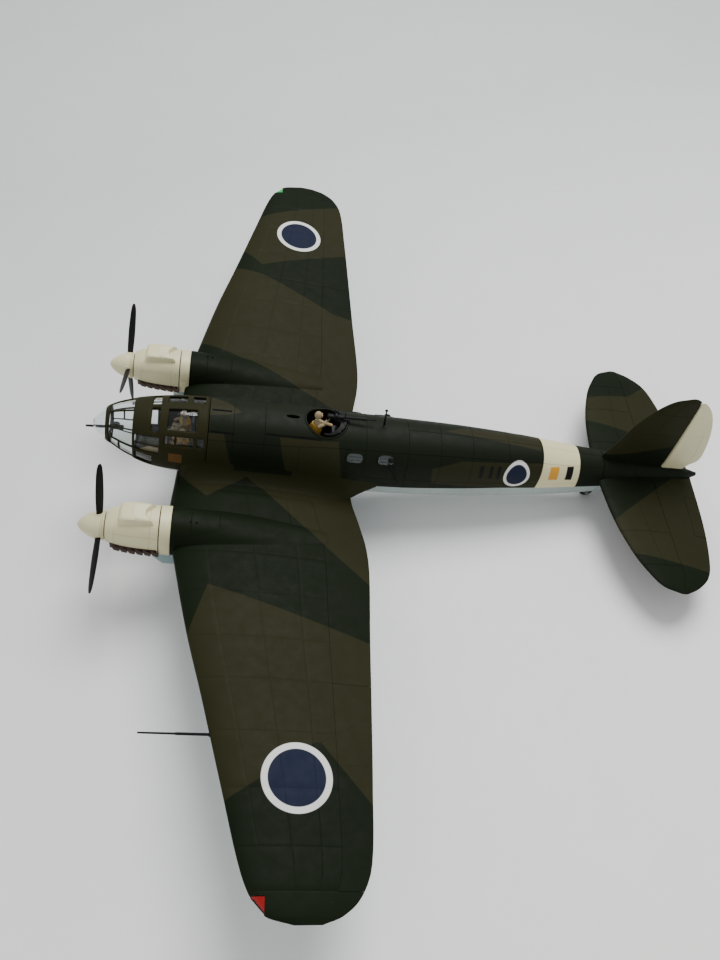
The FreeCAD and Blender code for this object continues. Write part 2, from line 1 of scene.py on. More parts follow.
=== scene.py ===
"""Visual model of the twin-engined bomber display model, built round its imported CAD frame.

Shapes are drawn in the aircraft's own axes in millimetres: X aft from the nose, Y to starboard,
Z up, with Z = 0 on the propeller shafts. TO_ROW carries them into the frame's metres.
"""

import bisect
import json
import math

import bmesh
import bpy
from mathutils import Matrix, Vector


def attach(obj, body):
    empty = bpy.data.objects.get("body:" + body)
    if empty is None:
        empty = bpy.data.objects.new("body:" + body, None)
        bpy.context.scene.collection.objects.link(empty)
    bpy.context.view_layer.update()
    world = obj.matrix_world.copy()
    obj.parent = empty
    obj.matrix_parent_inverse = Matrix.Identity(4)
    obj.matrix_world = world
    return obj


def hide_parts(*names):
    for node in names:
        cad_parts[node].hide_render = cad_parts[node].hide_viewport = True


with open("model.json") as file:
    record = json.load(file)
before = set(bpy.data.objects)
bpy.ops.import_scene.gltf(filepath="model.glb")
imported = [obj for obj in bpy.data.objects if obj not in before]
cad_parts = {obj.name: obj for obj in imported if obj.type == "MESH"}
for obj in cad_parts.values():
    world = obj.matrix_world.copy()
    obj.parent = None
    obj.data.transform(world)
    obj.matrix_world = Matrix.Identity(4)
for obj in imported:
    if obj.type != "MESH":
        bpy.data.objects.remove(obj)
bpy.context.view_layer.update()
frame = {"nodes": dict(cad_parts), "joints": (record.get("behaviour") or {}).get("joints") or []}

# ---- the aircraft's axes, from the propeller shafts ----
HUB_X = 7.6
MM = 0.001
JOINTS = {joint["name"]: joint for joint in frame["joints"]}
AFT = Vector(JOINTS["port_propeller_spin"]["axis"]).normalized()
STARBOARD = Vector((0, 1, 0))
UP = AFT.cross(STARBOARD)
PORT_HUB = Vector(JOINTS["port_propeller_spin"]["pos_m"])
STARBOARD_HUB = Vector(JOINTS["starboard_propeller_spin"]["pos_m"])
ENGINE_Y = (STARBOARD_HUB - PORT_HUB).y / 2 / MM
NOSE = (PORT_HUB + STARBOARD_HUB) / 2 - AFT * HUB_X * MM
AXES = Matrix((AFT, STARBOARD, UP)).transposed().to_4x4()
TO_ROW = Matrix.Translation(NOSE) @ AXES @ Matrix.Scale(MM, 4)
FROM_ROW = TO_ROW.inverted()


def in_aircraft(joint):
    return FROM_ROW @ Vector(JOINTS[joint]["pos_m"])


AXLE = in_aircraft("port_wheel_roll")
TAIL_AXLE = in_aircraft("rear_wheel_roll")
GUN_PIVOT = in_aircraft("dorsal_gun_pan")

SIDES = ((-1, "port"), (1, "starboard"))
GROOVE_DEPTH = 0.10
GROOVE_HALF = 0.10
SHARP_ANGLE = 32

# x, half width, belly height, roof height of the fuselage
STATIONS = (
    (0.4, 1.4, 6.0, 8.8),
    (2.0, 3.6, 4.2, 10.6),
    (6.0, 6.1, 1.1, 14.9),
    (12.0, 8.8, -3.0, 17.2),
    (20.0, 11.0, -6.3, 18.8),
    (30.0, 12.1, -7.9, 20.0),
    (44.0, 12.5, -8.7, 20.4),
    (70.0, 12.8, -10.2, 20.1),
    (100.0, 12.8, -10.6, 19.0),
    (130.0, 12.1, -9.4, 18.4),
    (155.0, 10.5, -6.9, 17.1),
    (170.0, 9.1, -5.2, 15.7),
    (186.0, 7.3, -2.8, 14.3),
    (200.0, 5.6, -0.4, 13.2),
    (212.0, 4.0, 2.4, 12.2),
    (222.0, 2.3, 5.4, 11.0),
    (227.4, 0.6, 8.2, 9.8),
)
FUSELAGE_SHAPE = 2.2
CONE_REAR = 5.2
NOSE_REAR = 39.5
TAIL_FRONT = 186.5
OPENING_X = 80.1
OPENING_LENGTH = 14.4
OPENING_WIDTH = 13.0

# x, half width, bottom, top of cowling and nacelle
COWL_STATIONS = (
    (9.7, 5.0, -4.9, 5.2),
    (12.0, 5.8, -6.0, 6.4),
    (17.0, 6.7, -8.0, 7.6),
    (24.0, 7.2, -9.2, 7.9),
    (34.0, 7.4, -9.8, 7.6),
    (50.0, 7.2, -10.2, 5.6),
    (68.0, 5.6, -8.6, 1.9),
    (82.0, 3.2, -5.8, -0.2),
    (90.0, 1.0, -3.4, -2.0),
)
COWL_SHAPE = 2.4
COWL_REAR = 26.8
RING_REAR = 30.4

# span, leading edge, trailing edge, thickness above and below the chord over the chord
WING_STATIONS = (
    (8.0, 29.6, 94.0, 0.080, 0.050),
    (15.0, 29.3, 92.2, 0.080, 0.050),
    (27.0, 28.8, 94.4, 0.078, 0.048),
    (38.0, 30.0, 96.4, 0.075, 0.046),
    (49.0, 32.2, 96.8, 0.072, 0.045),
    (75.0, 38.2, 95.2, 0.067, 0.042),
    (97.0, 44.3, 94.0, 0.063, 0.040),
    (124.0, 51.5, 92.4, 0.057, 0.037),
    (143.5, 56.8, 90.7, 0.053, 0.035),
    (151.0, 60.0, 87.4, 0.051, 0.034),
    (155.2, 63.9, 82.5, 0.048, 0.032),
    (157.0, 70.5, 77.5, 0.040, 0.028),
)
LENS_SPAN = 150.4
LENS_REAR = 63.3
WING_Z = -5.7
WING_DIHEDRAL = 0.103
TAIL_STATIONS = (
    (1.0, 185.0, 225.3),
    (24.0, 187.4, 223.6),
    (39.4, 191.5, 221.0),
    (47.6, 195.6, 218.0),
    (52.6, 199.6, 212.6),
    (55.0, 205.4, 207.6),
)
TAIL_Z = 8.1
TAIL_THICKNESS = 0.045
FIN_STATIONS = (
    (8.0, 184.5, 219.0),
    (14.0, 186.0, 222.0),
    (16.6, 186.6, 224.5),
    (24.0, 189.0, 223.7),
    (33.2, 191.5, 221.0),
    (41.5, 196.0, 216.8),
    (46.1, 200.4, 212.4),
    (48.3, 206.0, 207.6),
)
HINGE_FOOT_X = 211.3
HINGE_LEAN = -0.033

# ---- paint colours, linear ----
DARK_GREEN = (0.0068, 0.0104, 0.0046, 1)
BROWN = (0.0210, 0.0207, 0.0084, 1)
PALE_BLUE = (0.22, 0.31, 0.32, 1)
# The fuselage's pale blue underside, made paler and greyer than the pale blue paint: a painted reflection of
# the floor.
PALE_BELLY_WITH_FLOOR_REFLECTION = (0.36, 0.42, 0.405, 1)
CREAM = (0.68, 0.635, 0.385, 1)
BLACK = (0.007, 0.007, 0.0075, 1)
WHITE = (0.72, 0.72, 0.70, 1)
NAVY = (0.012, 0.016, 0.035, 1)
AMBER = (0.62, 0.30, 0.04, 1)
BADGE = (0.10, 0.052, 0.016, 1)
WORN = (0.055, 0.055, 0.040, 1)


# ================= small mathematics =================
def along(stations, place):
    """The columns after the first at a place, on a smooth curve through the stations."""
    keys = [row[0] for row in stations]
    place = min(max(place, keys[0]), keys[-1])
    i = min(max(bisect.bisect_right(keys, place) - 1, 0), len(keys) - 2)
    width = keys[i + 1] - keys[i]
    share = (place - keys[i]) / width
    values = []
    for column in range(1, len(stations[0])):
        def slope(k):
            low = max(k - 1, 0)
            high = min(k + 1, len(keys) - 1)
            return (stations[high][column] - stations[low][column]) / (keys[high] - keys[low])

        a = stations[i][column]
        b = stations[i + 1][column]
        h00 = 2 * share ** 3 - 3 * share ** 2 + 1
        h10 = share ** 3 - 2 * share ** 2 + share
        h01 = -2 * share ** 3 + 3 * share ** 2
        h11 = share ** 3 - share ** 2
        values.append(h00 * a + h10 * width * slope(i) + h01 * b + h11 * width * slope(i + 1))
    return values


def signed_power(value, power):
    return math.copysign(abs(value) ** power, value)


def ring_point(x, half, low, high, shape, angle, out=0.0, centre_y=0.0):
    """A point of an oval section. Angle 0 is the top and positive angles go to starboard."""
    s = signed_power(math.sin(angle), 2 / shape)
    c = signed_power(math.cos(angle), 2 / shape)
    y = centre_y + (half + out) * s
    z = (low + high) / 2 + ((high - low) / 2 + out) * c
    return Vector((x, y, z))


def hull(x, degrees, out=0.0):
    half, low, high = along(STATIONS, x)
    return ring_point(x, half, low, high, FUSELAGE_SHAPE, math.radians(degrees), out)


def hull_at_height(x, z, out=0.0, side=-1):
    """The point of the fuselage side at a height."""
    half, low, high = along(STATIONS, x)
    c = min(max((z - (low + high) / 2) / ((high - low) / 2), -1), 1)
    c = signed_power(c, FUSELAGE_SHAPE / 2)
    angle = math.degrees(math.acos(c))
    return hull(x, side * angle, out)


def nacelle(side, x, degrees, out=0.0):
    half, low, high = along(COWL_STATIONS, x)
    return ring_point(x, half, low, high, COWL_SHAPE, math.radians(degrees), out, side * ENGINE_Y)


def section_height(share):
    """Height of a wing section at a share of its chord, 1 at its thickest."""
    root = 0.2969 * math.sqrt(max(share, 0))
    return 10 * (root - 0.126 * share - 0.3516 * share ** 2 + 0.2843 * share ** 3 - 0.1036 * share ** 4)


def steps(low, high, count):
    return [low + (high - low) * i / count for i in range(count + 1)]


def turns(count):
    """Degrees round a full turn, without the last one that is the first again."""
    return steps(0, 360, count)[:-1]


def circle(count):
    """Radians round a full turn."""
    return [2 * math.pi * i / count for i in range(count)]


def cosine_steps(count):
    """Shares of a chord, closer together at both ends."""
    return [(1 - math.cos(math.pi * i / count)) / 2 for i in range(count + 1)]


def with_lines(values, lines, half=GROOVE_HALF):
    """Grid places with each groove's two edges and its middle added."""
    kept = [v for v in values if all(abs(v - line) > half * 1.5 for line in lines)]
    for line in lines:
        kept += [line - half, line, line + half]
    return sorted(kept)


def is_line(value, lines):
    return any(abs(value - line) < 1e-6 for line in lines)


# ================= meshes =================
class Shape:
    """Vertices and faces in the aircraft's axes, gathered from simple forms."""

    def __init__(self):
        self.verts = []
        self.faces = []
        self.paints = []

    def add(self, verts, faces, paint=0):
        start = len(self.verts)
        self.verts += [Vector(v) for v in verts]
        self.faces += [tuple(start + i for i in face) for face in faces]
        self.paints += [paint] * len(faces)
        return self

    def grid(self, rows, wrap=False, caps=False, paint=0):
        """Quads between rows of points. wrap closes each row, and caps close the first and last."""
        count = len(rows[0])
        verts = [v for row in rows for v in row]
        faces = []
        last = count if wrap else count - 1
        for r in range(len(rows) - 1):
            for i in range(last):
                j = (i + 1) % count
                faces.append((r * count + i, r * count + j, (r + 1) * count + j, (r + 1) * count + i))
        if caps:
            for row, base in ((rows[0], 0), (rows[-1], (len(rows) - 1) * count)):
                centre = sum((Vector(v) for v in row), Vector()) / count
                verts.append(centre)
                middle = len(verts) - 1
                for i in range(count):
                    faces.append((base + i, base + (i + 1) % count, middle))
        return self.add(verts, faces, paint)

    def plate(self, outer, inner, paint=0):
        """A closed skin between two sheets of points with the same layout."""
        count = len(outer[0])
        lower = len(outer) * count
        verts = [v for row in outer + inner for v in row]
        faces = []
        for r in range(len(outer) - 1):
            for i in range(count - 1):
                quad = (r * count + i, r * count + i + 1, (r + 1) * count + i + 1, (r + 1) * count + i)
                faces.append(quad)
                faces.append(tuple(lower + v for v in quad[::-1]))
            for i in (0, count - 1):
                a, b = r * count + i, (r + 1) * count + i
                faces.append((a, b, lower + b, lower + a))
        for r in (0, len(outer) - 1):
            for i in range(count - 1):
                a, b = r * count + i, r * count + i + 1
                faces.append((a, b, lower + b, lower + a))
        return self.add(verts, faces, paint)

    def tube(self, points, radii, sides=12, paint=0, flat=1.0):
        """A round bar through points, with a radius at each. flat squashes it sideways."""
        points = [Vector(p) for p in points]
        rows = []
        for i, point in enumerate(points):
            before = points[max(i - 1, 0)]
            after = points[min(i + 1, len(points) - 1)]
            run = (after - before).normalized()
            side = run.cross(Vector((0, 0, 1)))
            if side.length < 0.05:
                side = run.cross(Vector((0, 1, 0)))
            side.normalize()
            rise = side.cross(run)
            row = []
            for a in circle(sides):
                row.append(point + radii[i] * (math.cos(a) * side * flat + math.sin(a) * rise))
            rows.append(row)
        return self.grid(rows, wrap=True, caps=True, paint=paint)

    def lathe(self, profile, centre, axis, sides=32, paint=0, closed=False):
        """A profile of (along the axis, radius) turned about the axis."""
        centre = Vector(centre)
        axis = Vector(axis).normalized()
        side = axis.orthogonal().normalized()
        rise = axis.cross(side)
        rows = []
        for a in circle(sides):
            spoke = math.cos(a) * side + math.sin(a) * rise
            rows.append([centre + axis * s + spoke * r for s, r in profile])
        count = len(profile)
        verts = [v for row in rows for v in row]
        faces = []
        last = count if closed else count - 1
        for k in range(sides):
            n = (k + 1) % sides
            for i in range(last):
                j = (i + 1) % count
                faces.append((k * count + i, k * count + j, n * count + j, n * count + i))
        return self.add(verts, faces, paint)

    def slab(self, x0, x1, y0, y1, z0, z1, bevel=0.0, paint=0):
        """A block with its edges chamfered."""
        mesh = bmesh.new()
        bmesh.ops.create_cube(mesh, size=1.0)
        for v in mesh.verts:
            v.co = Vector((
                (x0 + x1) / 2 + v.co.x * (x1 - x0),
                (y0 + y1) / 2 + v.co.y * (y1 - y0),
                (z0 + z1) / 2 + v.co.z * (z1 - z0),
            ))
        if bevel:
            bmesh.ops.bevel(mesh, geom=mesh.edges[:], offset=bevel, segments=2, affect="EDGES", profile=0.6)
        return self.take(mesh, paint)

    def egg(self, centre, radii, sides=20, paint=0):
        """A closed rounded form with its own radius along each axis."""
        mesh = bmesh.new()
        bmesh.ops.create_uvsphere(mesh, u_segments=sides, v_segments=sides // 2 + 2, radius=1.0)
        for v in mesh.verts:
            v.co = Vector(centre) + Vector((v.co.x * radii[0], v.co.y * radii[1], v.co.z * radii[2]))
        return self.take(mesh, paint)

    def take(self, mesh, paint=0):
        mesh.verts.ensure_lookup_table()
        faces = [tuple(v.index for v in face.verts) for face in mesh.faces]
        self.add([v.co.copy() for v in mesh.verts], faces, paint)
        mesh.free()
        return self


def closed(rows):
    """A solid through closed rows of points."""
    return Shape().grid(rows, wrap=True, caps=True)


def mesh_object(name, shape, materials, sharp=SHARP_ANGLE):
    mesh = bpy.data.meshes.new(name)
    mesh.from_pydata([TO_ROW @ v for v in shape.verts], [], shape.faces)
    work = bmesh.new()
    work.from_mesh(mesh)
    for face, paint in zip(work.faces, shape.paints):
        face.material_index = paint
    bmesh.ops.remove_doubles(work, verts=work.verts[:], dist=1e-7)
    bmesh.ops.dissolve_degenerate(work, edges=work.edges[:], dist=1e-8)
    bmesh.ops.recalc_face_normals(work, faces=work.faces[:])
    work.to_mesh(mesh)
    work.free()
    mesh.polygons.foreach_set("use_smooth", [True] * len(mesh.polygons))
    mesh.set_sharp_from_angle(angle=math.radians(sharp))
    for material in materials:
        mesh.materials.append(material)
    obj = bpy.data.objects.new(name, mesh)
    bpy.context.collection.objects.link(obj)
    return obj


def piece(name, shape, materials, stands_for=(), body="airframe", sharp=SHARP_ANGLE):
    """A visible piece of the model, riding on a body and finished with its materials."""
    if not isinstance(materials, (list, tuple)):
        materials = [materials]
    obj = mesh_object(name, shape, materials, sharp)
    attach(obj, body)
    if stands_for:
        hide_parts(*stands_for)
    return obj


def apply_modifiers(obj):
    bpy.context.view_layer.update()
    evaluated = obj.evaluated_get(bpy.context.evaluated_depsgraph_get())
    mesh = bpy.data.meshes.new_from_object(evaluated)
    obj.modifiers.clear()
    obj.data = mesh


def thicken(obj, thickness):
    """Gives a skin its thickness, inwards."""
    solid = obj.modifiers.new("thickness", "SOLIDIFY")
    solid.thickness = thickness * MM
    solid.offset = -1
    solid.use_even_offset = True
    apply_modifiers(obj)


def carve(obj, cutters):
    """Cuts closed shapes out of a piece."""
    for cutter in cutters:
        tool = mesh_object("cutter", cutter, [])
        cut = obj.modifiers.new("cut", "BOOLEAN")
        cut.operation = "DIFFERENCE"
        cut.solver = "EXACT"
        cut.object = tool
        apply_modifiers(obj)
        data = tool.data
        bpy.data.objects.remove(tool)
        bpy.data.meshes.remove(data)
    obj.data.set_sharp_from_angle(angle=math.radians(SHARP_ANGLE))


# ================= materials =================
BUMP_HEIGHT = 0.00002


class Nodes:
    """A material's node tree, with the aircraft's own millimetre axes ready to use."""

    def __init__(self, name):
        self.material = bpy.data.materials.new(name)
        self.material.use_nodes = True
        self.tree = self.material.node_tree
        self.shader = self.tree.nodes["Principled BSDF"]
        location, rotation, scale = FROM_ROW.decompose()
        axes = {"Location": location, "Rotation": rotation.to_euler(), "Scale": scale}
        row = self.node("ShaderNodeTexCoord").outputs["Object"]
        self.place = self.node("ShaderNodeMapping", {"Vector": row, **axes}).outputs["Vector"]

    def node(self, kind, inputs=None, **settings):
        """A new node. Its inputs are numbers, colours or the outputs of other nodes."""
        made = self.tree.nodes.new(kind)
        for key, value in settings.items():
            setattr(made, key, value)
        for key, value in (inputs or {}).items():
            self.feed(made.inputs[key], value)
        return made

    def feed(self, socket, value):
        if isinstance(value, bpy.types.NodeSocket):
            self.tree.links.new(value, socket)
        else:
            socket.default_value = value

    def maths(self, operation, a, b):
        return self.node("ShaderNodeMath", {0: a, 1: b}, operation=operation).outputs[0]

    def mix(self, factor, a, b):
        return self.node("ShaderNodeMix", {0: factor, 6: a, 7: b}, data_type="RGBA").outputs[2]

    def noise(self, scale, detail=4.0, rough=0.55, stretch=(1, 1, 1)):
        mapping = self.node("ShaderNodeMapping", {"Scale": stretch, "Vector": self.place})
        settings = {"Scale": scale, "Detail": detail, "Roughness": rough, "Vector": mapping.outputs["Vector"]}
        return self.node("ShaderNodeTexNoise", settings).outputs["Fac"]

    def fit(self, value, low, high, to_low, to_high):
        ends = {"From Min": low, "From Max": high, "To Min": to_low, "To Max": to_high}
        return self.node("ShaderNodeMapRange", {"Value": value, **ends}).outputs["Result"]

    def beyond(self, a, b, plane="xy", soft=0.12):
        """1 on the left of the line from a to b, seen in a plane of the aircraft's axes."""
        along_line = (Vector(b) - Vector(a)).normalized()
        normal = Vector((-along_line.y, along_line.x))
        direction = [0.0, 0.0, 0.0]
        direction["xyz".index(plane[0])] = normal.x
        direction["xyz".index(plane[1])] = normal.y
        dot = self.node("ShaderNodeVectorMath", {0: self.place, 1: direction}, operation="DOT_PRODUCT")
        offset = normal.dot(Vector(a))
        return self.fit(dot.outputs["Value"], offset - soft, offset + soft, 0.0, 1.0)

    def inside(self, corners, plane="xy"):
        """1 inside a convex outline in a plane of the aircraft's axes."""
        turned = corners[1:] + corners[:1]
        area = sum(a[0] * b[1] - b[0] * a[1] for a, b in zip(corners, turned))
        if area < 0:
            corners = corners[::-1]
        return self.both(*[self.beyond(a, b, plane) for a, b in zip(corners, corners[1:] + corners[:1])])

    def fold(self, operation, masks):
        total = masks[0]
        for mask in masks[1:]:
            total = self.maths(operation, total, mask)
        return total

    def either(self, *masks):
        return self.fold("MAXIMUM", masks)

    def both(self, *masks):
        return self.fold("MINIMUM", masks)

    def disc(self, centre, radius, plane="xy"):
        """1 inside a circle about a centre in a plane of the aircraft's axes."""
        keep = tuple(1.0 if axis in plane else 0.0 for axis in "xyz")
        flat = self.node("ShaderNodeVectorMath", {0: self.place, 1: keep}, operation="MULTIPLY")
        point = [0.0, 0.0, 0.0]
        for axis, value in zip(plane, centre):
            point["xyz".index(axis)] = value
        gap = self.node("ShaderNodeVectorMath", {0: flat.outputs[0], 1: point}, operation="DISTANCE")
        return self.fit(gap.outputs["Value"], radius - 0.1, radius + 0.1, 1.0, 0.0)

    def finish(self, colour, rough=(0.42, 0.56), bump=0.02, grain=2.2, mottle=0.10, metal=0.0, gloss=0.5):
        """Slow tone changes, fine grain, uneven gloss and a slight surface texture."""
        slow = self.fit(self.noise(0.035, 5.0), 0.3, 0.7, 1 - mottle, 1 + mottle)
        fine = self.fit(self.noise(grain, 3.0), 0.3, 0.7, 1 - mottle * 0.35, 1 + mottle * 0.35)
        tone = self.maths("MULTIPLY", slow, fine)
        if isinstance(colour, tuple):
            colour = colour[:3]
        shade = self.node("ShaderNodeVectorMath", {0: colour, "Scale": tone}, operation="SCALE")
        texture = {"Strength": bump * 5, "Distance": BUMP_HEIGHT, "Height": self.noise(grain * 1.6, 3.0)}
        settings = {
            "Base Color": shade.outputs[0],
            "Roughness": self.fit(self.noise(0.3, 4.0), 0.3, 0.7, rough[0], rough[1]),
            "Metallic": metal,
            "Specular IOR Level": gloss,
            "Normal": self.node("ShaderNodeBump", texture).outputs["Normal"],
        }
        return self.settle(settings)

    def settle(self, settings):
        for key, value in settings.items():
            self.feed(self.shader.inputs[key], value)
        return self.material


def moulded(name, colour, **finish):
    return Nodes(name).finish(colour, **finish)


def clear_plastic(name, tint=(0.90, 0.94, 0.94, 1)):
    n = Nodes(name)
    rough = n.fit(n.noise(0.4, 3.0), 0.3, 0.7, 0.02, 0.09)
    return n.settle({"Transmission Weight": 1.0, "IOR": 1.3, "Base Color": tint, "Roughness": rough})


# brown areas of each surface as convex outlines, (x, y) seen from above or (x, z) from the side
PORT_WING_BROWN = (
    [(25.0, 0.0), (25.0, -7.5), (40.7, -23.2), (53.7, -13.3), (53.7, 0.0)],
    [(53.7, 0.0), (54.5, -12.2), (79.6, -38.2), (100.0, -57.6), (100.0, 0.0)],
    [(43.6, -59.8), (97.0, -77.6), (97.0, -100.0), (77.8, -110.9), (28.9, -110.9), (39.0, -75.8)],
    [(28.9, -110.7), (78.2, -110.7), (61.7, -121.3), (52.6, -127.7), (28.9, -144.0)],
    [(78.2, -110.7), (97.0, -133.8), (97.0, -100.0)],
)
PORT_FAIRING_GREEN = (
    [(25.0, -7.5), (35.1, -17.6), (25.0, -20.0)],
    [(46.5, -18.4), (54.0, -14.2), (60.8, -18.4)],
    [(48.6, 0.0), (49.2, -13.3), (69.6, -13.3), (69.0, 0.0)],
)
STARBOARD_WING_BROWN = (
    [(40.0, 126.2), (97.0, 149.1), (97.0, 115.7), (55.7, 99.3), (40.0, 116.6)],
    [(28.0, 54.9), (100.0, 19.4), (100.0, 69.3), (70.4, 85.6), (56.2, 93.2), (28.0, 102.2)],
    [(86.6, 76.7), (100.0, 74.5), (100.0, 69.3)],
)
PORT_TAILPLANE_BROWN = ([(180.0, -31.0), (222.0, 0.8), (232.0, 0.8), (232.0, -48.1), (180.0, -37.1)],)
STARBOARD_TAILPLANE_BROWN = (
    [(180.0, 26.0), (232.0, 9.8), (232.0, 42.6), (180.0, 35.5)],
    [(209.5, 39.5), (232.0, 42.6), (232.0, 57.4)],
)
SIDE_BROWN = (
    [(39.0, 4.0), (48.9, 4.0), (45.0, 17.2), (39.0, 17.2)],
    [(64.0, 17.5), (84.6, 17.3), (88.6, -2.0), (69.2, -2.0)],
    [(120.3, 5.0), (119.4, 11.5), (129.7, 14.5), (165.0, 14.5), (165.0, 3.0)],
)
ROOF_BROWN = (
    [(36.0, 8.6), (45.5, 3.7), (50.6, -0.6), (45.8, -2.2), (36.0, -3.4)],
    [(124.0, 1.3), (160.7, -2.2), (162.2, 5.5), (130.4, 4.1)],
)
FIN_BROWN = ([(186.0, 16.0), (214.0, 26.0), (214.0, 60.0), (180.0, 60.0)],)
PLAIN_BARS = (
    (137.2, 138.7, BLACK),
    (141.0, 142.3, BLACK),
    (144.0, 145.3, BLACK),
    (164.6, 168.2, AMBER),
    (171.3, 174.0, BLACK),
)
BAR_BOTTOM = 8.8
BAR_TOP = 13.4


def areas(n, outlines, plane="xy"):
    return n.either(*[n.inside(outline, plane) for outline in outlines])


def painted(name, brown, pale=None, marks=None, gloss=0.05):
    """Splinter camouflage in two greens, with wear, a pale underside lightened by a painted reflection of the
    floor, and plain markings.
    """
    n = Nodes(name)
    colour = n.mix(brown(n), DARK_GREEN, BROWN)
    chips = n.fit(n.noise(0.55, 9.0, 0.72, (0.6, 1.3, 1)), 0.685, 0.70, 0.0, 0.55)
    colour = n.mix(chips, colour, WORN)
    if marks:
        colour = marks(n, colour)
    if pale:
        # The pale underside's colour holds a painted reflection of the floor.
        colour = n.mix(pale(n), colour, PALE_BELLY_WITH_FLOOR_REFLECTION)
    return n.finish(colour, rough=(0.46, 0.60), mottle=0.08, gloss=gloss)


def ringed_disc(n, colour, centre, ring, disc, plane):
    colour = n.mix(n.disc(centre, ring, plane), colour, WHITE)
    return n.mix(n.disc(centre, disc, plane), colour, NAVY)


def wing_disc(side):
    """A plain ringed disc on the upper wing."""

    def mark(n, colour):
        return ringed_disc(n, colour, (71.4, side * 121), 9.8, 8.0, "xy")

    return mark


def hull_brown(n):
    """The patches of the flanks and those of the roof."""
    flanks = areas(n, SIDE_BROWN, "xz")
    roof = n.both(areas(n, ROOF_BROWN), n.beyond((0, 14.6), (300, 14.6), "xz"))
    return n.either(flanks, roof)


def hull_pale(n):
    """Below a line that steps up towards the tail."""
    first = n.beyond((111, 1.1), (25, -1.4), "xz")
    second = n.beyond((147, 4.0), (111, 1.1), "xz")
    third = n.beyond((180, 5.1), (147, 4.0), "xz")
    return n.both(n.either(first, second), third)


def hull_marks(n, colour):
    """A cream band round the tail, a plain ringed disc and plain bars in place of lettering."""
    band = n.both(n.beyond((161.9, 20), (160.2, -5), "xz"), n.beyond((177.5, -5), (176.2, 20), "xz"))
    colour = n.mix(band, colour, CREAM)
    colour = ringed_disc(n, colour, (151.8, 10.2), 5.0, 3.9, "xz")
    for x0, x1, paint in PLAIN_BARS:
        corners = [(x0, BAR_BOTTOM), (x1, BAR_BOTTOM), (x1, BAR_TOP), (x0, BAR_TOP)]
        colour = n.mix(n.inside(corners, "xz"), colour, paint)
    return colour


def nose_marks(n, colour):
    """A small plain badge on the port side."""
    badge = n.both(
        n.inside([(26.8, 4.2), (31.3, 4.2), (31.3, 8.6), (26.8, 8.6)], "xz"),
        n.beyond((100, 0), (0, 0)),
    )
    return n.mix(badge, colour, BADGE)


HULL_PAINT = painted("hull_camouflage", hull_brown, hull_pale, hull_marks, 0.085)
NOSE_PAINT = painted(
    "nose_camouflage", lambda n: n.beyond((0, 40), (0, -40), "xz"), hull_pale, nose_marks
)
WING_PAINT = {
    -1: painted(
        "port_wing_camouflage", lambda n: areas(n, PORT_WING_BROWN), None, wing_disc(-1)
    ),
    1: painted(
        "starboard_wing_camouflage", lambda n: areas(n, STARBOARD_WING_BROWN), None, wing_disc(1)
    ),
}
FAIRING_PAINT = {
    -1: painted("port_fairing_camouflage", lambda n: n.maths("SUBTRACT", 1.0, areas(n, PORT_FAIRING_GREEN))),
    1: WING_PAINT[1],
}
TAILPLANE_PAINT = {
    -1: painted("port_tailplane_camouflage", lambda n: areas(n, PORT_TAILPLANE_BROWN)),
    1: painted("starboard_tailplane_camouflage", lambda n: areas(n, STARBOARD_TAILPLANE_BROWN)),
}
FIN_PAINT = painted("fin_camouflage", lambda n: areas(n, FIN_BROWN, "xz"))
PALE_PAINT = moulded("pale_underside", PALE_BLUE, rough=(0.42, 0.55), mottle=0.07)
CREAM_PAINT = moulded("cream_enamel", CREAM, rough=(0.36, 0.50), mottle=0.06)
BLACK_PLASTIC = moulded("black_moulding", BLACK, rough=(0.42, 0.56), mottle=0.2, gloss=0.12)
GREY_PLASTIC = moulded("grey_moulding", (0.075, 0.08, 0.078, 1), rough=(0.4, 0.55))
COCKPIT_GREY = moulded("cockpit_grey", (0.045, 0.05, 0.046, 1), rough=(0.5, 0.65))
RUBBER = moulded("tyre_rubber_dull", (0.014, 0.0135, 0.013, 1), rough=(0.66, 0.8), bump=0.05, mottle=0.2)
EXHAUST = moulded("burnt_exhaust", (0.050, 0.026, 0.018, 1), rough=(0.5, 0.7), bump=0.06, mottle=0.35)
STEEL = moulded("bright_steel", (0.48, 0.48, 0.47, 1), rough=(0.24, 0.36), metal=1.0, mottle=0.08)
BRASS = moulded("brass_bush", (0.62, 0.42, 0.17, 1), rough=(0.26, 0.4), metal=1.0, mottle=0.1)
SUIT = moulded("flying_suit", (0.30, 0.235, 0.13, 1), rough=(0.6, 0.75), mottle=0.18)
VEST = moulded("life_vest", (0.50, 0.27, 0.03, 1), rough=(0.5, 0.65), mottle=0.2)
SKIN = moulded("painted_skin", (0.42, 0.24, 0.15, 1), rough=(0.5, 0.6), mottle=0.08)
# A dark plate behind each beam window's glass: painted shade of the fuselage's inside.
PAINTED_WINDOW_SHADE = moulded("painted_window_shade", (0.10, 0.112, 0.110, 1), rough=(0.3, 0.45))
# Near black: painted shade in the roof slots and in the exhaust pipes' bores, and the colour of the small caps
# on the nacelles.
DARK_CAPS_AND_PAINTED_SHADE = moulded("dark_caps_and_painted_shade", (0.005, 0.005, 0.005, 1), rough=(0.8, 0.9), gloss=0.05)
MATRIX = moulded("radiator_matrix", (0.03, 0.028, 0.025, 1), rough=(0.5, 0.7), bump=0.12, grain=5.0)
GLASS = clear_plastic("clear_canopy")
RED_LENS = clear_plastic("red_lens_plastic", (0.75, 0.02, 0.02, 1))
GREEN_LENS = clear_plastic("green_lens_plastic", (0.02, 0.55, 0.12, 1))


# ================= fuselage =================
# x and the angle from the roof at which the dorsal deck meets the lower shell
DECK_EDGE = ((39.5, 52.0), (64.0, 49.5), (87.0, 43.0), (114.0, 40.5), (150.0, 38.5), (186.5, 36.0))


def deck_angle(x):
    return along(DECK_EDGE, x)[0]


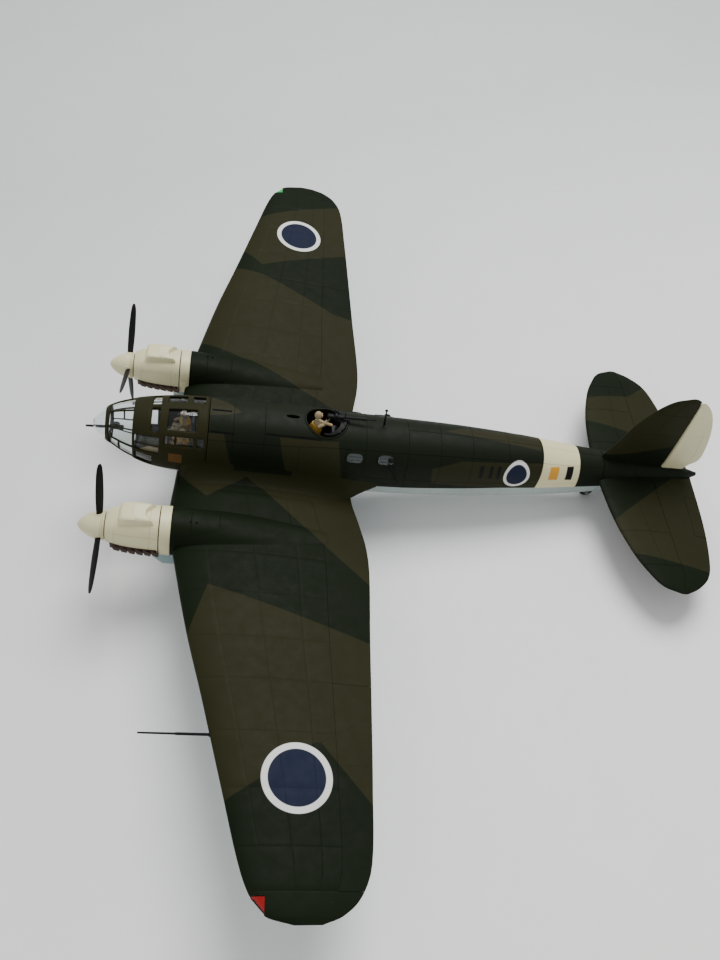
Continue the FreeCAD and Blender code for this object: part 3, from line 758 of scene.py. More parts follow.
def roof_height(x, y, out=0.0):
    half, low, high = along(STATIONS, x)
    share = min(abs(y) / (half + out), 1.0)
    rise = (1 - share ** FUSELAGE_SHAPE) ** (1 / FUSELAGE_SHAPE)
    return (low + high) / 2 + ((high - low) / 2 + out) * rise


def ellipse_column(x, y, half_x, half_y, z0, z1, sides=64):
    """A closed upright oval column."""
    rows = []
    for z in (z0, z1):
        rows.append([(x + half_x * math.cos(a), y + half_y * math.sin(a), z) for a in circle(sides)])
    return closed(rows)


HULL_SEAMS = (48.0, 58.7, 71.0, 88.2, 94.5, 110.0, 122.0, 134.0, 148.0, 161.0, 176.6)
DECK_SEAMS = (48.0, 58.7, 94.5, 110.0, 122.0, 134.0, 148.0, 161.0, 176.6)
TAIL_SEAMS = (200.0, 214.0)
SEAM_GAP = 0.5
PART_GAP = 0.25
WALL = 1.1
# shares of the width at which seams run lengthwise
DECK_LINES = (-0.68, 0.0, 0.68)
HULL_LINES = (0.16, 0.30, 0.70, 0.84)
SCREWS_X = (112.0, 146.0)


def deck_place(x, share):
    """The angle at a share of the deck's width, -1 to 1."""
    return share * (deck_angle(x) - SEAM_GAP)


def shell_place(x, share):
    """The angle at a share of the way round the lower shell, 0 to 1."""
    reach = deck_angle(x)
    return reach + share * (360 - 2 * reach)


def deck_line(x, share):
    if share:
        return is_line(share, DECK_LINES) and 64 < x < 78
    return x > 110


def shell_line(x, share):
    outer = is_line(share, HULL_LINES[::3]) and x > 94.5
    return outer or (is_line(share, HULL_LINES[1:3]) and x > 110)


def hull_skin(seams, shares, place, lengthwise):
    """A skin between the nose and the tail cone with its seams engraved."""
    rows = []
    inner = []
    for x in with_lines(steps(NOSE_REAR + PART_GAP, TAIL_FRONT, 98), seams):
        inner.append([hull(x, place(x, share), -WALL) for share in shares])
        row = []
        for share in shares:
            seam = is_line(x, seams) or lengthwise(x, share)
            row.append(hull(x, place(x, share), -GROOVE_DEPTH if seam else 0.0))
        rows.append(row)
    return Shape().plate(rows, inner)


def make_fuselage():
    skin = hull_skin(DECK_SEAMS, with_lines(steps(-1, 1, 40), DECK_LINES, 0.008), deck_place, deck_line)
    deck = piece("dorsal_deck_skin", skin, HULL_PAINT, ("dorsal_deck",))
    opening = ellipse_column(OPENING_X, 0, OPENING_LENGTH / 2, OPENING_WIDTH / 2, 12, 24)
    slot = ellipse_column(68.2, 0, 2.4, 0.8, 12, 24, 32)
    carve(deck, [opening, slot])

    skin = hull_skin(HULL_SEAMS, with_lines(steps(0, 1, 72), HULL_LINES, 0.0012), shell_place, shell_line)
    shell = piece("fuselage_skin", skin, HULL_PAINT, ("fuselage_shell",))
    screws = []
    for x in SCREWS_X:
        profile = ((-16.0, 0.0), (-16.0, 1.15), (4.0, 1.15), (4.0, 0.0))
        screws.append(Shape().lathe(profile, (x, 0, 0), (0, 0, 1), 24))
    carve(shell, [opening, *screws])

    rows = []
    for x in with_lines(steps(TAIL_FRONT + PART_GAP, STATIONS[-1][0], 30), TAIL_SEAMS):
        seam = -GROOVE_DEPTH if is_line(x, TAIL_SEAMS) else 0.0
        rows.append([hull(x, a, seam) for a in turns(48)])
    piece("tail_cone_skin", closed(rows), HULL_PAINT, ("tail_cone",))


def make_coaming():
    """A rolled rim round the gunner's opening, with a dark half ring for the gun behind it."""
    profile = ((0.0, -1.0), (0.0, 0.16), (0.14, 0.3), (0.42, 0.3), (0.7, 0.1), (0.75, -0.5))
    rows = []
    for a in circle(72):
        row = []
        for grow, lift in profile:
            x = OPENING_X + (OPENING_LENGTH / 2 + grow) * math.cos(a)
            y = (OPENING_WIDTH / 2 + grow) * math.sin(a)
            row.append((x, y, roof_height(x, y) + lift))
        rows.append(row)
    rows.append(rows[0])
    piece("coaming_rim", Shape().grid(rows, wrap=True), HULL_PAINT, ("dorsal_coaming",))

    shape = Shape()
    rows = []
    for a in steps(-98, 98, 48):
        t = math.radians(a)
        wide = 0.55 + 1.5 * math.cos(t / 1.09) ** 2
        row = []
        for inset, z in ((0.2, 0.5), (0.2, 0.9), (0.2 + wide, 0.9), (0.2 + wide, 0.5)):
            x = OPENING_X + (OPENING_LENGTH / 2 - inset) * math.cos(t)
            y = (OPENING_WIDTH / 2 - inset) * math.sin(t)
            row.append((x, y, roof_height(x, y) + z))
        rows.append(row)
    shape.grid(rows, wrap=True, caps=True)
    for a in steps(-80, 80, 8):
        t = math.radians(a)
        x = OPENING_X + (OPENING_LENGTH / 2 - 0.6) * math.cos(t)
        y = (OPENING_WIDTH / 2 - 0.6) * math.sin(t)
        shape.egg((x, y, roof_height(x, y) + 0.95), (0.24, 0.24, 0.14), 10)
    shape.slab(84.0, 88.3, -0.5, 1.7, 19.75, 20.35, 0.15)
    piece("gun_ring", shape, BLACK_PLASTIC)


ROOF_SLOTS = ((40.0, 48.4, -38.5), (59.0, 78.4, -33.5), (40.4, 47.0, -2.0))


def make_roof_slots():
    """Thin dark plates along the roof: painted shade standing in for recesses."""
    slots = Shape()
    for x0, x1, angle in ROOF_SLOTS:
        hull_patch(slots, x0, x1, angle - 1.3, angle + 1.3, 0.03, 0.3)
    piece("roof_slots", slots, DARK_CAPS_AND_PAINTED_SHADE)


def hull_patch(shape, x0, x1, a0, a1, out, depth):
    """A curved plate lying on the fuselage, between two angles and two places along it."""
    xs = steps(x0, x1, max(2, int((x1 - x0) / 1.5)))
    angles = steps(a0, a1, max(2, int(abs(a1 - a0) / 4)))
    top = [[hull(x, a, out) for a in angles] for x in xs]
    under = [[hull(x, a, out - depth) for a in angles] for x in xs]
    shape.plate(top, under)


def nose_panes():
    """The openings of the nose frame as (x0, x1, angle0, angle1)."""
    panes = [(6.15, 14.4, -6.8, 49.8), (6.15, 14.4, -49.8, -9.2), (6.15, 14.4, 151.2, 208.8)]
    for side in (-1, 1):
        for low, high in ((52.2, 85.8), (118.2, 148.8)):
            panes.append((6.15, 14.4, side * low, side * high))
        panes.append((6.15, 9.4, side * 88.2, side * 115.8))
        panes.append((9.8, 14.4, side * 88.2, side * 115.8))
        for low, high in ((56.5, 72.2), (73.8, 86.2)):
            panes.append((15.1, 23.4, side * low, side * high))
        panes.append((15.1, 21.0, side * 92, side * 122))
        panes.append((20.5, 23.3, side * 3, side * 47))
        for x0, x1 in ((25.4, 28.6), (29.2, 34.9), (36.2, 38.4)):
            panes.append((x0, x1, side * 52, side * 67))
    panes.append((26.0, 35.5, -42, -5))
    panes.append((25.6, 31.9, 8, 30))
    panes.append((33.8, 38.0, 8, 30))
    return [(x0, x1, min(a, b) % 360, min(a, b) % 360 + abs(a - b)) for x0, x1, a, b in panes]


def make_nose():
    panes = nose_panes()
    xs = set(steps(CONE_REAR, NOSE_REAR, 34))
    angles = set(turns(72))
    for x0, x1, a0, a1 in panes:
        xs |= {x0, x1}
        angles |= {a0 % 360, a1 % 360}
    xs = thin_out(sorted(xs), {p[0] for p in panes} | {p[1] for p in panes}, 0.3)
    keep = {p[2] % 360 for p in panes} | {p[3] % 360 for p in panes}
    angles = thin_out(sorted(angles), keep, 1.2)
    count = len(angles)
    verts = [hull(x, a) for x in xs for a in angles]
    faces = []
    for r in range(len(xs) - 1):
        for i in range(count):
            j = (i + 1) % count
            x = (xs[r] + xs[r + 1]) / 2
            a = (angles[i] + angles[i + 1]) / 2 if j else (angles[i] + 360) / 2
            open_here = any(
                x0 < x < x1 and (a0 < a < a1 or a0 < a + 360 < a1) for x0, x1, a0, a1 in panes
            )
            if not open_here:
                faces.append((r * count + i, r * count + j, (r + 1) * count + j, (r + 1) * count + i))
    framework = Shape().add(verts, faces)
    frame_skin = piece("nose_framework", framework, NOSE_PAINT, ("nose_frame",))
    thicken(frame_skin, 0.55)

    rows = [[hull(x, a, -0.62) for a in turns(60)] for x in steps(CONE_REAR, NOSE_REAR, 34)]
    panes_inside = Shape().grid(rows, wrap=True)
    glazing = piece("nose_glass", panes_inside, GLASS, ("nose_glazing",))
    thicken(glazing, 0.4)

    places = [0.4, 0.5, 0.8, 1.3, 2.0, 2.9, 3.9, 4.6, CONE_REAR]
    sides = 48
    rows = [[hull(x, a, -0.02) for a in turns(sides)] for x in places]
    centre = sum(rows[0], Vector()) / len(rows[0])
    rows.insert(0, [centre + (v - centre) * 0.5 for v in rows[0]])
    cone = Shape().grid(rows, wrap=True)
    start = len(cone.verts)
    cone.verts.append(centre)
    cone.faces += [(i, (i + 1) % sides, start) for i in range(sides)]
    cone.paints += [0] * sides
    glass = piece("nose_cone_glass", cone, GLASS, ("nose_cone_glazing",))
    thicken(glass, 0.45)


def thin_out(values, keep, gap):
    """Drops grid places that lie too near an edge that has to stay."""
    return [v for v in values if v in keep or all(abs(v - k) > gap for k in keep)]


def collar(length, inner, outer):
    """The profile of a short ring round a bar."""
    return ((0.0, inner), (0.0, outer), (length, outer), (length, inner))


def disc(half, radius):
    """The profile of a flat round block about its centre."""
    return ((-half, 0.0), (-half, radius), (half, radius), (half, 0.0))


def make_nose_details():
    shape = Shape()
    shape.tube([(-2.2, -0.6, 6.4), (2.0, -0.6, 6.63), (9.0, -0.6, 7.0)], [0.34, 0.36, 0.36])
    shape.tube([(1.2, -0.6, 6.58), (4.6, -0.6, 6.77)], [0.52, 0.52], 16)
    shape.slab(6.2, 10.6, -1.25, 0.05, 6.4, 7.7, 0.2)
    shape.lathe(disc(0.5, 1.2), (8.2, -0.6, 8.2), (0, 1, 0), 20)
    for x in steps(-1.7, 0.9, 6):
        centre = (x, -0.6, 6.43 + 0.055 * (x + 2))
        shape.lathe(collar(0.16, 0.3, 0.47), centre, (1, 0, 0.055), 14)
    piece("nose_machine_gun", shape, BLACK_PLASTIC, ("nose_gun",))

    shape = Shape()
    shape.slab(14.6, 15.3, -6.0, 2.0, -0.7, 3.4, 0.2)
    shape.slab(24.2, 24.9, -8.6, -0.6, 3.0, 8.4, 0.25)
    for row in range(2):
        for i in range(4):
            centre = (24.95, -7.4 + 1.9 * i, 4.5 + 2.1 * row)
            dial = ((0.0, 0.0), (0.0, 0.78), (0.22, 0.78), (0.22, 0.6), (0.12, 0.0))
            shape.lathe(dial, centre, (1, 0, 0), 18)
    shape.tube([(26.4, -4.4, -0.8), (26.8, -4.4, 3.0), (27.6, -4.4, 5.8)], [0.35, 0.3, 0.3])
    yoke = ((-0.2, 1.0), (0.0, 1.25), (0.2, 1.0), (0.0, 0.8))
    shape.lathe(yoke, (27.7, -4.4, 6.1), (1, 0, 0.4), 24, closed=True)
    shape.slab(16.0, 22.0, 3.2, 7.4, -0.7, 0.9, 0.3)
    shape.slab(15.2, 22.6, -7.4, -3.4, -0.75, 0.1, 0.25)
    piece("cockpit_instruments", shape, BLACK_PLASTIC)


def person(shape, hip, head, face, hands, knee_x):
    """A figure, seated if it has a knee_x: paint 0 suit, 1 vest, 2 face and hands."""
    hip = Vector(hip)
    head = Vector(head)
    face = Vector(face).normalized()
    chest = hip.lerp(head, 0.55)
    neck = hip.lerp(head, 0.80)
    shape.tube([hip, hip.lerp(chest, 0.5), chest, neck], [1.75, 1.6, 1.95, 0.75], 18, 0, 1.12)
    shape.tube([hip.lerp(chest, 0.35), chest, chest.lerp(neck, 0.55)], [1.85, 2.12, 1.5], 18, 1, 1.1)
    shape.egg(head, (1.35, 1.3, 1.6), 18, 0)
    shape.egg(head + face * 0.42 - Vector((0, 0, 0.12)), (1.05, 1.05, 1.22), 18, 2)
    shape.egg(head + face * 1.42 - Vector((0, 0, 0.15)), (0.2, 0.2, 0.3), 8, 2)
    across = face.cross(Vector((0, 0, 1))).normalized()
    for side, hand in zip((-1, 1), hands):
        shoulder = chest.lerp(neck, 0.5) + across * side * 1.75
        hand = Vector(hand)
        elbow = shoulder.lerp(hand, 0.5) + across * side * 0.7 - Vector((0, 0, 1.0))
        shape.tube([shoulder, elbow, hand], [0.85, 0.68, 0.5], 12)
        shape.egg(hand, (0.55, 0.5, 0.5), 10, 2)
        if knee_x is not None:
            knee = Vector((knee_x, hip.y + side * 1.2, hip.z + 0.9))
            foot = knee + Vector((-0.9, 0, -3.4))
            start = hip + Vector((0, side * 0.9, 0.3))
            shape.tube([start, knee, foot], [1.05, 0.85, 0.6], 12)
            shape.egg(foot + Vector((-0.5, 0, 0)), (1.0, 0.5, 0.45), 10)
    shape.tube([hip + Vector((0, 0, 0.9)), hip + Vector((0, 0, 1.5))], [1.82, 1.82], 18, 1, 1.12)


def make_crew():
    paints = [SUIT, VEST, SKIN]
    shape = Shape()
    for y in (-4.4, 4.4):
        hands = ((27.6, y - 1.2, 6.6), (27.6, y + 1.2, 6.6))
        person(shape, (31.6, y, 3.4), (30.8, y, 11.4), (-1, 0, 0), hands, 27.2)
    shape.tube([(24.0, -6.0, 2.6), (20.0, -5.6, 2.9), (16.8, -5.4, 1.6)], [1.3, 1.1, 0.7], 14)
    piece("cockpit_figures", shape, paints, ("cockpit_crew",))

    x = OPENING_X - 3.6
    shape = Shape()
    hands = ((81.5, -2.4, 20.2), (81.6, 1.9, 20.1))
    person(shape, (x, -1.2, 10.5), (x + 0.3, 0.2, 21.7), (1, 0.1, 0.1), hands, None)
    for side in (-1, 1):
        leg = [(x, -1.2 + side, 10.6), (x, -1.2 + side * 1.2, 4.0), (x, -1.2 + side * 1.2, -1.9)]
        shape.tube(leg, [1.3, 1.0, 0.8], 14)
    for eye in (-0.45, 0.5):
        shape.lathe(disc(0.14, 0.42), (x + 1.62, 0.2 + eye, 21.95), (1, 0, 0), 14, 2)
    piece("gunner_figure", shape, paints, ("dorsal_gunner_figure",))


def make_dorsal_gun():
    px, py, pz = GUN_PIVOT.x, 0.6, 21.4
    shape = Shape()
    shape.tube([(px + 1.0, py, pz), (97.4, py, pz + 0.2)], [0.3, 0.28], 14)
    shape.tube([(px + 1.4, py, pz + 0.02), (px + 9.4, py, pz + 0.14)], [0.46, 0.46], 18)
    for x in steps(px + 1.9, px + 9.0, 9):
        shape.lathe(collar(0.3, 0.4, 0.56), (x, py, pz + 0.02), (1, 0, 0.015), 16)
    shape.slab(px - 4.2, px + 1.6, py - 0.65, py + 0.65, pz - 0.75, pz + 0.7, 0.15)
    for side in (-1, 1):
        centre = (px - 1.4, py + side * 1.2, pz + 0.95)
        drum = ((-0.6, 0.0), (-0.6, 0.9), (-0.4, 1.15), (0.4, 1.15), (0.6, 0.9), (0.6, 0.0))
        shape.lathe(drum, centre, (0, 1, 0), 24)
    shape.slab(px - 1.9, px - 0.9, py - 0.7, py + 0.7, pz + 0.6, pz + 1.5, 0.15)
    shape.tube([(px - 3.6, py, pz - 0.5), (px - 4.2, py, pz - 1.9)], [0.36, 0.3], 10)
    shape.tube([(px - 4.2, py - 0.9, pz + 0.2), (px - 4.2, py + 0.9, pz + 0.2)], [0.25, 0.25], 10)
    shape.tube([(97.0, py, pz + 0.45), (97.0, py, pz + 1.1)], [0.1, 0.08], 8)
    sight = ((-0.1, 0.72), (0.0, 0.82), (0.1, 0.72), (0.0, 0.62))
    shape.lathe(sight, (px + 1.8, py, pz + 1.4), (1, 0, 0), 20, closed=True)
    socket = ((-3.4, 0.97), (-3.4, 1.4), (-0.8, 1.4), (-0.6, 1.1), (-0.6, 0.0), (-1.5, 0.0), (-1.5, 0.97))
    shape.lathe(socket, (px, py, pz), (0, 0, 1), 28)
    piece("dorsal_machine_gun", shape, BLACK_PLASTIC, ("dorsal_gun",), "dorsal_gun_mount")


WINDOW_X = (90.8, 102.0)
WINDOW_Z = 13.2
WINDOW_HALF_LENGTH = 2.9
WINDOW_HALF_HEIGHT = 1.5


def window_sheet(side, x, share, out):
    """One ring of a rounded window on the fuselage side, at a share of its full size."""
    row = []
    for a in circle(40):
        forward = WINDOW_HALF_LENGTH * share * signed_power(math.cos(a), 0.62)
        height = WINDOW_HALF_HEIGHT * share * signed_power(math.sin(a), 0.62)
        row.append(hull_at_height(x + forward, WINDOW_Z + height, out, side))
    return row


def make_beam_windows():
    glass = Shape()
    rims = Shape()
    backs = Shape()
    balls = Shape()
    for side in (-1, 1):
        for x in WINDOW_X:
            places = (0.0, 0.3, 0.55, 0.75, 0.9, 0.97, 1.0)
            dome = [(r, 0.12 + 0.42 * math.sqrt(1 - r * r)) for r in places]
            dome += [(r, 0.08) for r in (0.98, 0.6, 0.0)]
            glass.grid([window_sheet(side, x, r, out) for r, out in dome], wrap=True)
            # The dark plate under the glass is painted shade of the fuselage's inside.
            plate = ((0.0, 0.04), (0.5, 0.04), (0.94, 0.05), (0.94, -0.3), (0.0, -0.3))
            backs.grid([window_sheet(side, x, r, out) for r, out in plate], wrap=True)
            ring = ((0.95, -0.2), (0.97, 0.26), (1.03, 0.34), (1.12, 0.24), (1.16, -0.2), (0.95, -0.2))
            rims.grid([window_sheet(side, x, r, out) for r, out in ring], wrap=True)
            for lift in (-0.55, 0.55):
                bar = [hull_at_height(x + dx, WINDOW_Z + lift, 0.3, side) for dx in (-2.4, 0, 2.4)]
                balls.tube(bar, [0.07, 0.07, 0.07], 6)
        balls.egg(hull_at_height(103.9, 13.4, 0.25, side), (1.15, 0.75, 1.05), 18)
    piece("beam_window_glass", glass, GLASS, ("beam_windows",))
    piece("beam_window_rims", rims, HULL_PAINT)
    piece("beam_window_shade_plates", backs, PAINTED_WINDOW_SHADE)
    piece("beam_window_mounts", balls, BLACK_PLASTIC)

    guns = Shape()
    for side in (-1, 1):
        start = Vector((103.4, side * 12.2, 12.4))
        end = Vector((107.4, side * 16.0, 7.6))
        guns.tube([start, end], [0.3, 0.26], 12)
        guns.tube([start, start.lerp(end, 0.6)], [0.44, 0.44], 14)
        for share in steps(0.1, 0.55, 4):
            spot = start.lerp(end, share)
            guns.lathe(collar(0.2, 0.4, 0.55), spot, end - start, 14)
    start = Vector((97.4, 0, -11.7))
    end = Vector((105.0, 0, -13.4))
    guns.tube([start, end], [0.3, 0.26], 12)
    guns.tube([start, start.lerp(end, 0.55)], [0.46, 0.46], 14)
    guns.egg(start, (1.2, 1.2, 1.1), 16)
    piece("side_machine_guns", guns, BLACK_PLASTIC, ("gun_barrels",))

    mast = Shape()
    line = [(100.95, 1.0, 18.4), (100.6, 1.0, 22.0), (100.25, 1.0, 26.4)]
    mast.tube(line, [0.45, 0.34, 0.22], 14, 0, 0.6)
    mast.egg((100.2, 1.0, 26.5), (0.6, 0.45, 0.5), 14)
    mast.lathe(((0, 0.0), (0, 1.0), (0.35, 0.9), (0.5, 0.4), (0.5, 0)), (100.9, 1.0, 18.7), (0, 0, 1), 20)
    piece("aerial_mast_and_foot", mast, BLACK_PLASTIC, ("aerial_mast",))


# ================= wings and tail =================
RIBS = (20.0, 46.5, 62.0, 78.0, 92.0, 108.0, 124.0, 139.0, 149.5)
AILERON_SPLIT = 117.0
SPARS = (0.17, 0.40, 0.62)
HINGE_SHARE = 0.765
HINGE_DEPTH = 0.10
WING_GROOVE = 0.025
AILERON_ROOT = 92.0
AILERON_TIP = 149.5


def wing_point(side, span, share, upper, lift=0.0):
    front, rear, above, below = along(WING_STATIONS, span)
    height = (above if upper else -below) * (rear - front) * section_height(share)
    sign = 1 if upper else -1
    z = WING_Z + WING_DIHEDRAL * span + height + sign * lift
    return Vector((front + share * (rear - front), side * span, z))


def wing_groove(span, share):
    """How deep the skin lies below the smooth section: panel joints and the gap at the hinges."""
    if is_line(span, (AILERON_ROOT, AILERON_TIP)) and share > HINGE_SHARE:
        return HINGE_DEPTH
    if is_line(share, (HINGE_SHARE,)) and 22 < span < AILERON_TIP:
        return HINGE_DEPTH
    if is_line(span, RIBS) and 0.03 < share < HINGE_SHARE:
        return WING_GROOVE
    if is_line(share, SPARS[:1]) and 46 < span < 139:
        return WING_GROOVE
    if is_line(share, SPARS[1:]) and 20 < span < 149:
        return WING_GROOVE
    if is_line(span, (AILERON_SPLIT,)) and share > HINGE_SHARE:
        return WING_GROOVE
    return 0.0


def surface_half(spans, shares, upper_point, chord_point, groove):
    """A closed solid between a curved skin and the chord plane."""
    rows = []
    for span in spans:
        row = []
        for share in shares:
            depth = groove(span, share) if 0 < share < 1 else 0.0
            row.append(upper_point(span, share, -depth))
        for share in shares[-2:0:-4]:
            row.append(chord_point(span, share))
        rows.append(row)
    return closed(rows)


def nav_box(side):
    """The block ahead of and outboard of the lens's two edges."""
    inner = side * LENS_SPAN
    outer = side * LENS_SPAN * 1.1
    return Shape().slab(50, LENS_REAR, min(inner, outer), max(inner, outer), 5, 15)


def make_wings():
    spans = steps(8, 150, 60) + steps(150, 157, 18)[1:]
    spans = with_lines(spans, RIBS + (AILERON_SPLIT,), 0.07)
    shares = with_lines(cosine_steps(44), SPARS + (HINGE_SHARE,), 0.0012)
    for side, label in SIDES:
        for upper in (True, False):

            def skin(span, share, lift, s=side, u=upper):
                return wing_point(s, span, share, u, lift)

            def chord(span, share, s=side):
                point = wing_point(s, span, share, True)
                point.z = WING_Z + WING_DIHEDRAL * span
                return point

            half = "upper" if upper else "lower"
            shape = surface_half(spans, shares, skin, chord, wing_groove)
            paint = WING_PAINT[side] if upper else PALE_PAINT
            name = "wing_%s_%s" % (label, half)
            made = piece(name + "_skin", shape, paint, (name,), sharp=25)
            carve(made, [nav_box(side)])


# x, reach of the root fairing over the wing, its height on the fuselage
FAIRING = (
    (30.0, 17.0, 0.5),
    (33.0, 17.4, 5.0),
    (39.0, 17.6, 7.5),
    (65.0, 17.6, 8.0),
    (82.0, 17.5, 8.0),
    (88.0, 16.9, 7.8),
    (91.6, 15.4, 6.9),
    (93.2, 14.2, 6.0),
    (95.4, 13.3, 4.8),
    (98.0, 12.75, 3.4),
    (101.0, 12.3, 2.0),
)


def make_root_fairings():
    """The hollow curve that blends each wing into the fuselage."""
    for side, label in SIDES:
        rows = []
        for x in steps(30.4, 88, 40) + steps(88, 100.8, 20)[1:]:
            reach, top = along(FAIRING, x)
            grip = hull_at_height(x, top, -0.12, side)
            front, rear = along(WING_STATIONS, reach)[:2]
            share = min(max((x - front) / (rear - front), 0.0), 0.985)
            foot = wing_point(side, reach, share, True, -0.06)
            foot.x = x
            foot.z += max(x - 93.5, 0.0) * 0.62
            bend = Vector((x, grip.y + side * 0.5, foot.z + 0.2))
            row = []
            for t in steps(0, 1, 12):
                row.append(grip * (1 - t) ** 2 + bend * 2 * t * (1 - t) + foot * t ** 2)
            row.append(Vector((x, foot.y - side * 0.4, foot.z - 1.0)))
            row.append(Vector((x, min(abs(grip.y), abs(foot.y)) * side * 0.8, foot.z - 1.0)))
            row.append(Vector((x, grip.y - side * 1.2, grip.z - 0.4)))
            rows.append(row)
        piece("root_fairing_" + label, closed(rows), FAIRING_PAINT[side])


TAIL_RIBS = (12.0, 30.0, 44.0)
TAIL_SPAR, TAIL_HINGE, TAIL_TAB = 0.32, 0.56, 0.86
TAIL_HINGE_DEPTH = 0.30
TAB_DEPTH = GROOVE_DEPTH * 1.4


def make_tailplanes():
    spans = with_lines(steps(1, 48, 26) + steps(48, 55, 14)[1:], TAIL_RIBS)
    shares = with_lines(cosine_steps(32), (TAIL_SPAR, TAIL_HINGE, TAIL_TAB), 0.0030)
    for side, label in SIDES:

        def place(span, share, sign, lift, s=side):
            front, rear = along(TAIL_STATIONS, span)
            height = TAIL_THICKNESS * (rear - front) * section_height(share)
            return Vector((front + share * (rear - front), s * span, TAIL_Z + sign * (height + lift)))

        def depth(span, share):
            if is_line(share, (TAIL_HINGE,)) and span > 5:
                return TAIL_HINGE_DEPTH
            if is_line(share, (TAIL_TAB,)) and 12 < span < 30:
                return TAB_DEPTH
            if is_line(share, (TAIL_SPAR,)) and 8 < span < 46:
                return GROOVE_DEPTH
            if is_line(span, TAIL_RIBS) and share < TAIL_HINGE:
                return GROOVE_DEPTH
            if is_line(span, TAIL_RIBS[:2]) and TAIL_TAB < share < 1:
                return TAB_DEPTH
            return 0.0

        rows = []
        for span in spans:
            row = []
            for share in shares:
                row.append(place(span, share, 1, -depth(span, share) if 0 < share < 1 else 0.0))
            for share in shares[-2:0:-1]:
                row.append(place(span, share, -1, -depth(span, share)))
            rows.append(row)
        name = "tailplane_" + label
        piece(name + "_skin", closed(rows), TAILPLANE_PAINT[side], (name,), sharp=25)


FIN_RIBS = (20.0, 30.0, 40.0)
FIN_THICKNESS = 0.045
ROUNDED_SHARE = 0.06


def hinge_x(z):
    return HINGE_FOOT_X + HINGE_LEAN * z


def upright_shape(places, first, last, lines, rounded):
    """A closed part of the fin between two edges, each a function of height."""
    rows = []
    for z in places:
        front, rear = along(FIN_STATIONS, z)
        x0, x1 = first(z, front, rear), last(z, front, rear)
        points = []
        for share in with_lines(cosine_steps(24), lines, 0.006):
            x = x0 + (x1 - x0) * share
            whole = min(max((x - front) / (rear - front), 0.0), 1.0)
            half = FIN_THICKNESS * (rear - front) * section_height(whole)
            if rounded and share < ROUNDED_SHARE:
                half *= math.sqrt(max(share, 0.0) / ROUNDED_SHARE)
            if is_line(share, lines) or is_line(z, FIN_RIBS):
                half -= GROOVE_DEPTH if half > 0.3 else 0.0
            points.append((x, half))
        row = [Vector((x, half, z)) for x, half in points]
        row += [Vector((x, -half, z)) for x, half in points[-2:0:-1]]
        rows.append(row)
    return closed(rows)


def make_fin():
    places = with_lines(steps(8, 42, 22) + steps(42, 48.3, 12)[1:], FIN_RIBS)
    fin = upright_shape(
        places,
        lambda z, front, rear: front,
        lambda z, front, rear: max(min(hinge_x(z) - 0.12, rear), front + 0.2),
        (0.45,),
        False,
    )
    piece("fin_skin", fin, FIN_PAINT, ("fin",), sharp=25)
    rudder = upright_shape(
        [z for z in places if along(FIN_STATIONS, z)[1] > hinge_x(z) + 0.6],
        lambda z, front, rear: hinge_x(z) + 0.16,
        lambda z, front, rear: rear,
        (0.74,),
        True,
    )
    piece("rudder_skin", rudder, CREAM_PAINT, ("rudder",), sharp=25)


PITOT_SPAN = 108.6
PITOT_Z = 5.4


def make_pitot():
    pitot = Shape()
    front = along(WING_STATIONS, PITOT_SPAN)[0]
    tip, step, thick, root, cuff = [
        (x, -PITOT_SPAN, PITOT_Z) for x in (28.0, 38.0, 38.4, front + 2.0, front + 0.2)
    ]
    pitot.tube([tip, step], [0.26, 0.30], 14)
    pitot.tube([step, thick, root], [0.30, 0.40, 0.40], 14)
    pitot.lathe(((-0.6, 0.3), (-0.3, 0.62), (0.4, 0.7), (0.8, 0.5)), cuff, (1, 0, 0), 18)
    piece("pitot_probe", pitot, BLACK_PLASTIC, ("pitot_tube",))


# ================= engines =================
COWL_SEAMS = (12.6, 23.9)
COWL_LINES = (64.0, 296.0, 118.0, 242.0)
NACELLE_SEAMS = (36.8, 46.0, 58.0)
# heights below which the cowl ring and the nacelle are pale
RING_PALE_Z = -4.4
NACELLE_PALE_Z = -4.2


def pale_below(obj, height):
    """Gives the faces below a height the second paint."""
    for face in obj.data.polygons:
        face.material_index = 1 if (FROM_ROW @ face.center).z < height else 0


